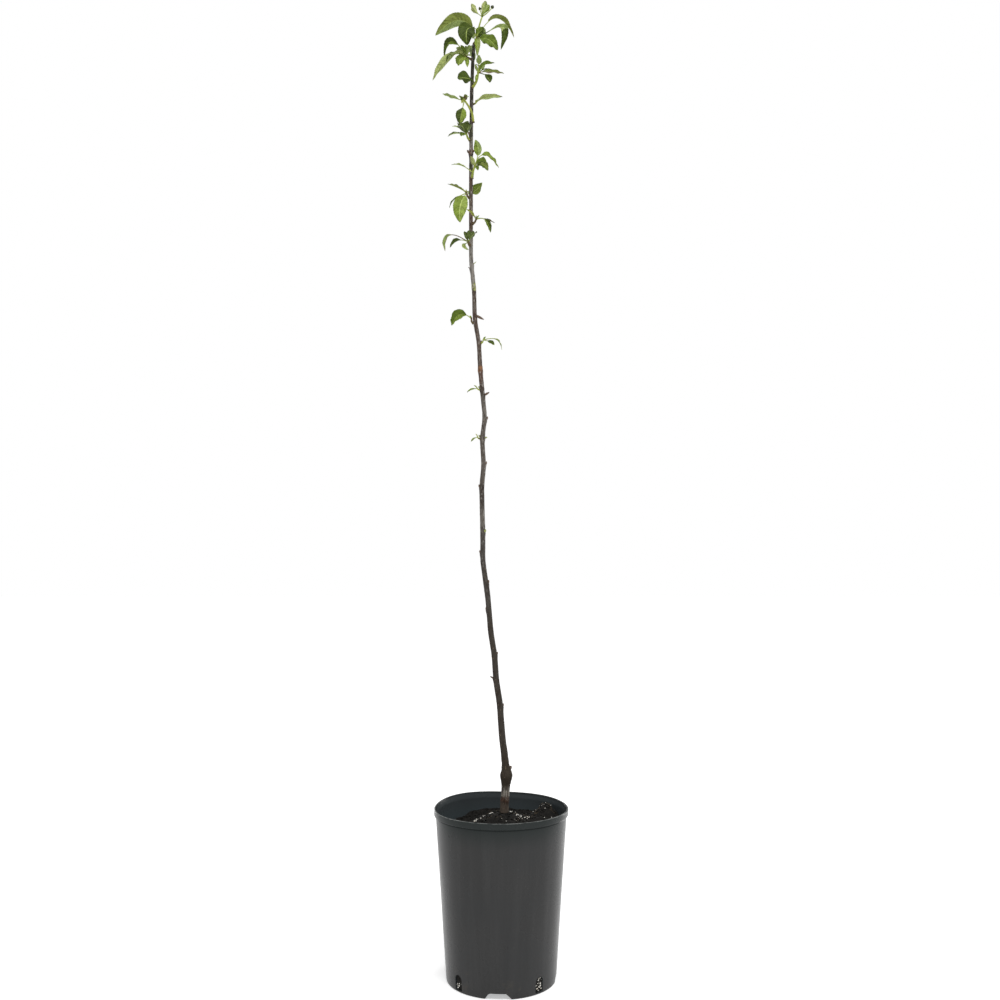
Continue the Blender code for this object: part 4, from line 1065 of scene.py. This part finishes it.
# Frames along a leaf by the source's rule, at any shares of its length: centre, side, upper, u
def leafFrames(root, stop, row, spots):
    hump = humpOf(root, stop, row["arch"], row["lead"], row["swing"])
    stalk = row["stalk"]
    steps = smallSteps if row["wide"] < leafLook["smallWide"] else bladeSteps
    if abs(row["arch"]) > leafLook["curledArch"]:
        steps = curledSteps
    count = steps + 2
    middle = stalk + (1 - stalk) * (count // 2 - 1) / steps
    face = math.radians(row["face"])
    wanted = Vector((0, -math.sin(face), math.cos(face)))
    slope = curveSlope(root, hump, stop, middle)
    first = (wanted - slope * wanted.dot(slope)).normalized()
    made = [None] * len(spots)
    after = [k for k in range(len(spots)) if spots[k] >= middle]
    before = [k for k in range(len(spots)) if spots[k] < middle][::-1]
    for order in (after, before):
        last = first
        for k in order:
            slope = curveSlope(root, hump, stop, spots[k])
            last = (last - slope * last.dot(slope)).normalized()
            u = (spots[k] - stalk) / (1 - stalk)
            turn = math.radians(row["twist"]) * max(0.0, u)
            upper = last * math.cos(turn) + last.cross(slope) * math.sin(turn)
            made[k] = (curvePoint(root, hump, stop, spots[k]), upper.cross(slope), upper, u)
    return made


# A blade of two skins with teeth, side veins, a raised midrib below and a groove above, and its stalk
def addLeaf(blades, stalks, root, stop, row, fold, rule):
    small = row["wide"] < leafLook["smallWide"]
    tiny = row["wide"] < leafLook["bractWide"]
    stalk = row["stalk"]
    length = (stop - root).length * (1 - stalk)
    veins = max(3, round(length / leafLook["veinGap"]))
    if tiny:
        us = [k / leafLook["bractRows"] for k in range(leafLook["bractRows"] + 1)]
    else:
        us = [(k + f) / veins for k in range(veins) for f in leafLook["veinRows"]] + [1.0]
    skew = 0.0 if tiny else leafLook["veinLean"] * row["wide"] / 2 / length
    samples = leafLook["samples"]
    frames = leafFrames(root, stop, row, [stalk + (1 - stalk) * k / samples for k in range(samples + 1)])
    shares = leafLook["bractColumns" if tiny else "columns"]
    columns = [-a for a in shares[:0:-1]] + list(shares)
    waves, phase = rule.uniform(2.2, 3.6), rule.uniform(0, math.tau)
    wave = leafLook["wave"] * rule.uniform(0.6, 1.4) * row["wide"]
    cup = leafLook["cup"] * rule.uniform(-0.6, 1.2) * row["wide"]
    # The second tones of the top and the underside colour the blade's other half: partly the leaf's own colour,
    # partly painted light and shade across the fold
    upperTone, otherTone, tipTone, underTone, rimTone, stalkTone = row["tones"]
    underTone, underOther = underTone if isinstance(underTone, tuple) else (underTone, underTone)
    tones = {name: index for index, name in enumerate(toneNames)}
    tipIndex = toneNames.index(tipTone) if tipTone else None
    roll = leafLook["roll"] * rule.uniform(-0.8, 1.6)
    wobble = math.radians(leafLook["wobble"]) * rule.uniform(-1, 1)
    bend = fold * leafLook["fold"]
    rings = []
    thick = leafLook["thick"] / 2
    for k, u in enumerate(us):
        gap = abs(u * veins - round(u * veins)) * 2
        top, low = [], []
        for a in columns:
            at = u + skew * abs(a) * math.sin(math.pi * u)
            spot = min(samples - 1, int(at * samples))
            share = at * samples - spot
            centre, side, upper = (frames[spot][i].lerp(frames[spot + 1][i], share) for i in range(3))
            turn = wobble * math.sin(math.pi * 1.6 * at + phase)
            side, upper = (side * math.cos(turn) + upper * math.sin(turn),
                           upper * math.cos(turn) - side * math.sin(turn))
            half = row["wide"] / 2 * bladeShare(at, row["belly"])
            if not tiny:
                half += leafLook["tooth"] * (1 if k % 2 else -1) * min(1.0, half / leafLook["toothFull"])
            half = max(half, leafLook["tipWide"] / 2 if u > 0.5 else 0.5 * mm)
            mask = min(1.0, half / leafLook["shapeFull"])
            width = abs(a) * half
            # the fold, then how the blade cups and sways, the wavy rim and the swelling between the veins
            rise = half * math.sin(bend * mask) * (math.sqrt(a * a + 0.02) - 0.14)
            rise += (cup * a * a + roll * half * a ** 4) * mask + row["sway"] * mm * math.sin(math.tau * at)
            rise += wave * mask * abs(a) ** 2.2 * math.sin(math.tau * waves * u + phase + (0.9 if a > 0 else 0))
            rise += leafLook["quilt"] * (1 - (1 - gap) ** 2) * mask * min(1.0, abs(a) * 6) * (1 - abs(a) ** 3)
            rib = max(0.0, 1 - width / leafLook["ribWide"]) * (1 - 0.75 * u)
            ridge = max(0.0, 1 - gap * 5) * mask * (1 - a * a) * leafLook["veinRise"]
            skin = thick + (leafLook["edgeThick"] / 2 - thick) * abs(a) ** 3
            middle = centre + side * (math.copysign(width, a) * math.cos(bend * mask))
            top.append(middle + upper * (rise + skin - rib * leafLook["groove"]))
            low.append(middle + upper * (rise - skin - ridge - rib * leafLook["ribRise"]))
        rings.append(top + low[::-1])
    wide = len(columns)

    def tint(ringRow, column):
        u = us[ringRow]
        upperSide = column < wide - 1
        rib = u * veins + 0.02
        vein = not small and abs(rib - round(rib)) < 0.06
        if column in (wide - 1, 2 * wide - 1):
            return tones[rimTone]
        place = column - wide // 2 if upperSide else wide + wide // 2 - 1 - column
        ragged = 0.08 * noise.noise(Vector((place * 0.9, ringRow * 0.4, phase)))
        if tipIndex is not None and u + ragged > row["tipFrom"]:
            return tipIndex
        if place in (-1, 0) and u < 0.92 and not tiny:
            return tones["ribPale" if upperTone in leafLook["light"] else "rib"]
        # Each half takes its own tone, partly the leaf's colour and partly painted light and shade across the fold
        if upperSide:
            name = upperTone if place < 0 else otherTone
        else:
            name = underTone if place < 0 else underOther
        return tones.get(name + "Vein", tones[name]) if vein and 0 < u < 0.9 and -7 <= place < 7 else tones[name]

    blades.loft(rings, tint)
    steps = leafLook["stalkSteps"]
    frames = leafFrames(root, stop, row, [(stalk + 0.03) * k / steps for k in range(steps + 1)])
    squash = leafLook["stalkThick"] / leafLook["stalkWide"]
    stalks.loft([ringAt(centre - upper * (0.25 * mm * k / steps), side, upper,
                        leafLook["stalkWide"] / 2 * (1.12 - 0.35 * k / steps), leafLook["stalkSides"], squash)
                 for k, (centre, side, upper, u) in enumerate(frames)], toneNames.index(stalkTone))


def farLeaf(rule):
    heading = math.radians(rule.uniform(*farLeaves["heading"]))
    lift = math.radians(rule.uniform(*farLeaves["lift"]))
    reach = rule.uniform(*farLeaves["reach"])
    flat = reach * math.cos(lift)
    return leaf(flat * math.cos(heading), flat * math.sin(heading), reach * math.sin(lift),
                arch=rule.uniform(*farLeaves["arch"]), wide=rule.uniform(*farLeaves["wide"]),
                face=rule.uniform(*farLeaves["face"]), stalk=farLeaves["stalk"], tone="mid")


twigLook = {
    "step": 0.8 * mm, "sides": 16, "sink": 1.2 * mm,    # how far its foot runs into the stem
    "taper": 0.3, "uneven": 0.07, "foot": 0.28, "footEase": 1.6, "knots": 0.10, "ridges": 0.06, "grain": 0.05,
    "patch": 420, "woodyOver": 0.45, "woodyOverLime": 0.2, "budSink": 0.3, "budLong": 1.1, "budThick": 0.9,
}


# The source's path for a twig, as a few points
def twigPath(start, row, side, fromStem, onTop):
    if fromStem and onTop:
        points = [start + Vector((0, 0, clear)), start + Vector((0, 0, collar))]
        return points + [start + row["end"] * share + Vector((0, 0, clear)) for share in (0.6, 1)]
    stop = start + row["end"]
    root = start
    points = []
    if fromStem:
        out = around(1, side)
        root = start + out * (stemRadius(start.z) + clear + 0.08 * mm)
        points.append(root)
        root = root + out * collar
    hump = humpOf(root, stop, row["bow"], 0, 0)
    return points + [curvePoint(root, hump, stop, t) for t in (0, 0.33, 0.67, 1)]


# The same path in fine steps
def finePath(points, step):
    made = []
    for k, (low, high) in enumerate(zip(points, points[1:])):
        before, after = points[max(0, k - 1)], points[min(len(points) - 1, k + 2)]
        count = max(2, round((high - low).length / step))
        for j in range(count):
            t = j / count
            made.append(0.5 * ((2 * low) + (high - before) * t + (2 * before - 5 * low + 4 * high - after) * t ** 2
                               + (3 * low - before - 3 * high + after) * t ** 3))
    return made + [points[-1]]


# A stipule or a bract, with its tip at that reach in millimetres
def addBract(blades, stalks, root, reach, look, extra):
    row = leaf(*reach, extra.uniform(*look["wide"]), extra.uniform(*look["face"]), 0.05,
               extra.choice(look["tones"]), look["arch"], under="pale")
    addLeaf(blades, stalks, root, root + row["tip"], row, look["fold"], extra)


def makeTuft(row, blades, stalks, extra):
    rule = random.Random(row["seed"])
    start = stemCentre(row["height"])
    for number, stick in enumerate(row["twigs"]):
        first = number == 0
        onTop = row["height"] >= stem["lean"][-1][0] * mm
        points = twigPath(start, stick, row["side"], first, onTop)
        path = finePath(points[:1] + points[2:] if first and not onTop else points, twigLook["step"])
        if first:
            path = [path[0] + (path[0] - path[1]).normalized() * twigLook["sink"]] + path
        thick = stick["thick"] / 2
        count = len(path) - 1
        phase = extra.uniform(0, math.tau)
        rings = []
        for k, (point, (side, upper)) in enumerate(zip(path, framesAlong(path))):
            share = k / count
            uneven = twigLook["uneven"] * noise.noise(Vector((k * 0.55, phase, 0)))
            radius = thick * (1 - twigLook["taper"] * share) * (1 + uneven)
            radius *= 1 + twigLook["foot"] * math.exp(-k / twigLook["footEase"]) if first else 1.0
            radius *= 1 + twigLook["knots"] * max(0.0, math.sin(k * 2.1 + phase)) * max(0.0, 1 - share * 1.6)
            ring = []
            for j in range(twigLook["sides"]):
                turn = math.tau * j / twigLook["sides"]
                grain = noise.noise(around(2, turn, k * 0.8 + phase))
                ridge = 1 + twigLook["ridges"] * math.cos(3 * turn + phase + share * 2) + twigLook["grain"] * grain
                ring.append(point + side * (radius * ridge * math.cos(turn))
                            + upper * (radius * ridge * math.sin(turn)))
            rings.append(ring)
        main, woody = toneNames.index(stick["tone"]), toneNames.index("twigBrown")

        def twigTint(ringRow, column):
            spot = rings[ringRow][column]
            patch = noise.noise(spot * twigLook["patch"]) + (0.9 - ringRow * 0.28 if first else 0.0)
            over = twigLook["woodyOverLime" if stick["tone"] == "lime" else "woodyOver"]
            return woody if patch > over else main

        stalks.loft(rings, twigTint)
        end = points[-1]
        aim = (points[-1] - points[-2]).normalized()
        budRoot = end - aim * stick["thick"] * twigLook["budSink"]
        budTone = stick["tone"] if first else "dark"
        bud(stalks, budRoot, aim, stick["thick"] * twigLook["budLong"], stick["thick"] * twigLook["budThick"],
            toneNames.index(budTone), 12)
        rows = list(stick["leaves"])
        if first:
            rows += [farLeaf(rule) for k in range(row["far"])]
        for blade in rows + stick["more"]:
            fold = math.radians(rule.uniform(10, 26))
            spot = (len(points) - 1) * blade["at"]
            low = min(int(spot), len(points) - 2)
            root = points[low].lerp(points[low + 1], spot - low)
            addLeaf(blades, stalks, root, root + blade["tip"], blade, fold, extra)
            if blade["wide"] > leafLook["smallWide"]:    # a pair of stipules at its foot
                for turn in (-1, 1):
                    reach = blade["tip"].normalized() * 2.2 + Vector((0, 0, 1.2)) + Vector(
                        (extra.uniform(-1, 1) * 1.5, turn * 1.6, extra.uniform(-0.6, 1.2)))
                    addBract(blades, stalks, root, reach, leafLook["stipule"], extra)
        for k in range(leafLook["bracts" if row["height"] > leafLook["bractsFrom"] else "lowBracts"]):
            turn = math.tau * (k / leafLook["bracts"]) + phase
            reach = aim * extra.uniform(3.5, 6.5) + around(1, turn, 0.3) * 2.4
            addBract(blades, stalks, budRoot, reach, leafLook["bract"], extra)
        start = end


def makeCrown():
    paints = [makeLeafPaint(name, seen(*colour)) for name, colour in leafLook["palette"].items()]
    extra = random.Random(leafLook["seed"])
    stalks = Heap()
    for name, rows in (("leavesLow", tufts[:8]), ("leavesHigh", tufts[8:])):
        blades = Heap()
        for row in rows:
            makeTuft(row, blades, stalks, extra)
        ownPiece(addHeap(name, blades, paints), "leaf_green", *[row["name"] for row in rows])
        print(name + ":", len(blades.faces), "faces")
    ownPiece(addHeap("greenTwigs", stalks, paints), "leaf_green")
    print("greenTwigs:", len(stalks.faces), "faces")


makeCrown()


# The floor and the light: a white room whose sides and back are brighter than its front
studio = {
    "floor": 24.0, "floorTone": 0.9, "ambient": 0.38,
    # The floor glows a little, less around the pot than further off, where the lamps don't reach
    "glow": 0.76, "nearShare": 0.55, "nearEnd": 0.9, "farStart": 2.0,
    # place, what it points at, width and height in metres, power in watts
    "panels": {
        "leftPanel": ((-0.7, 1.35, 0.75), (0, 0, 0.6), (0.2, 2.0), 8),
        "rightPanel": ((1.1, 1.0, 0.75), (0, 0, 0.6), (0.55, 2.0), 13),
        "topPanel": ((-0.3, -0.3, 2.6), (0, 0, 0.9), (0.9, 0.9), 4),
        "skyPanel": ((0.35, -1.3, 2.6), (0, 0, 0.5), (1.4, 1.0), 38),
    },
}


def addLight(name, place, aim, size, power):
    light = bpy.data.lights.new(name, "AREA")
    light.shape = "RECTANGLE"
    light.size, light.size_y = size
    light.energy = power
    thing = bpy.data.objects.new(name, light)
    thing.location = place
    thing.rotation_euler = (Vector(aim) - Vector(place)).to_track_quat("-Z", "Y").to_euler()
    bpy.context.scene.collection.objects.link(thing)


def makeStudio():
    paint = Paint("paleFloor", Base_Color=(studio["floorTone"],) * 3, Roughness=0.8, Specular_IOR_Level=0.1,
                  Emission_Strength=studio["glow"])
    far = paint.length(paint.place()).rise(studio["nearEnd"], studio["farStart"])
    paint.set("Emission Color", paint.mix(far, (studio["nearShare"],) * 3, (1, 1, 1)))
    half = studio["floor"] / 2
    floor = addThing("studioFloor", [(-half, -half, 0), (half, -half, 0), (half, half, 0), (-half, half, 0)],
                     [(0, 1, 2, 3)], [paint])
    world = bpy.data.worlds.new("studioRoom")
    bpy.context.scene.world = world
    world.use_nodes = True
    room = Tree(world.node_tree)
    sockets = room.nodes["Background"].inputs
    room.plug(sockets["Color"], (1, 1, 1))
    direct = room.node("LightPath", out="Is Camera Ray")    # the backdrop is whiter than the light it gives
    room.plug(sockets["Strength"], room.node("MapRange", None, {"Value": direct, "To Min": studio["ambient"]}))
    for name, (place, aim, size, power) in studio["panels"].items():
        addLight(name, place, aim, size, power)
    bpy.context.scene.view_settings.view_transform = "Standard"


makeStudio()
print("scene ready")
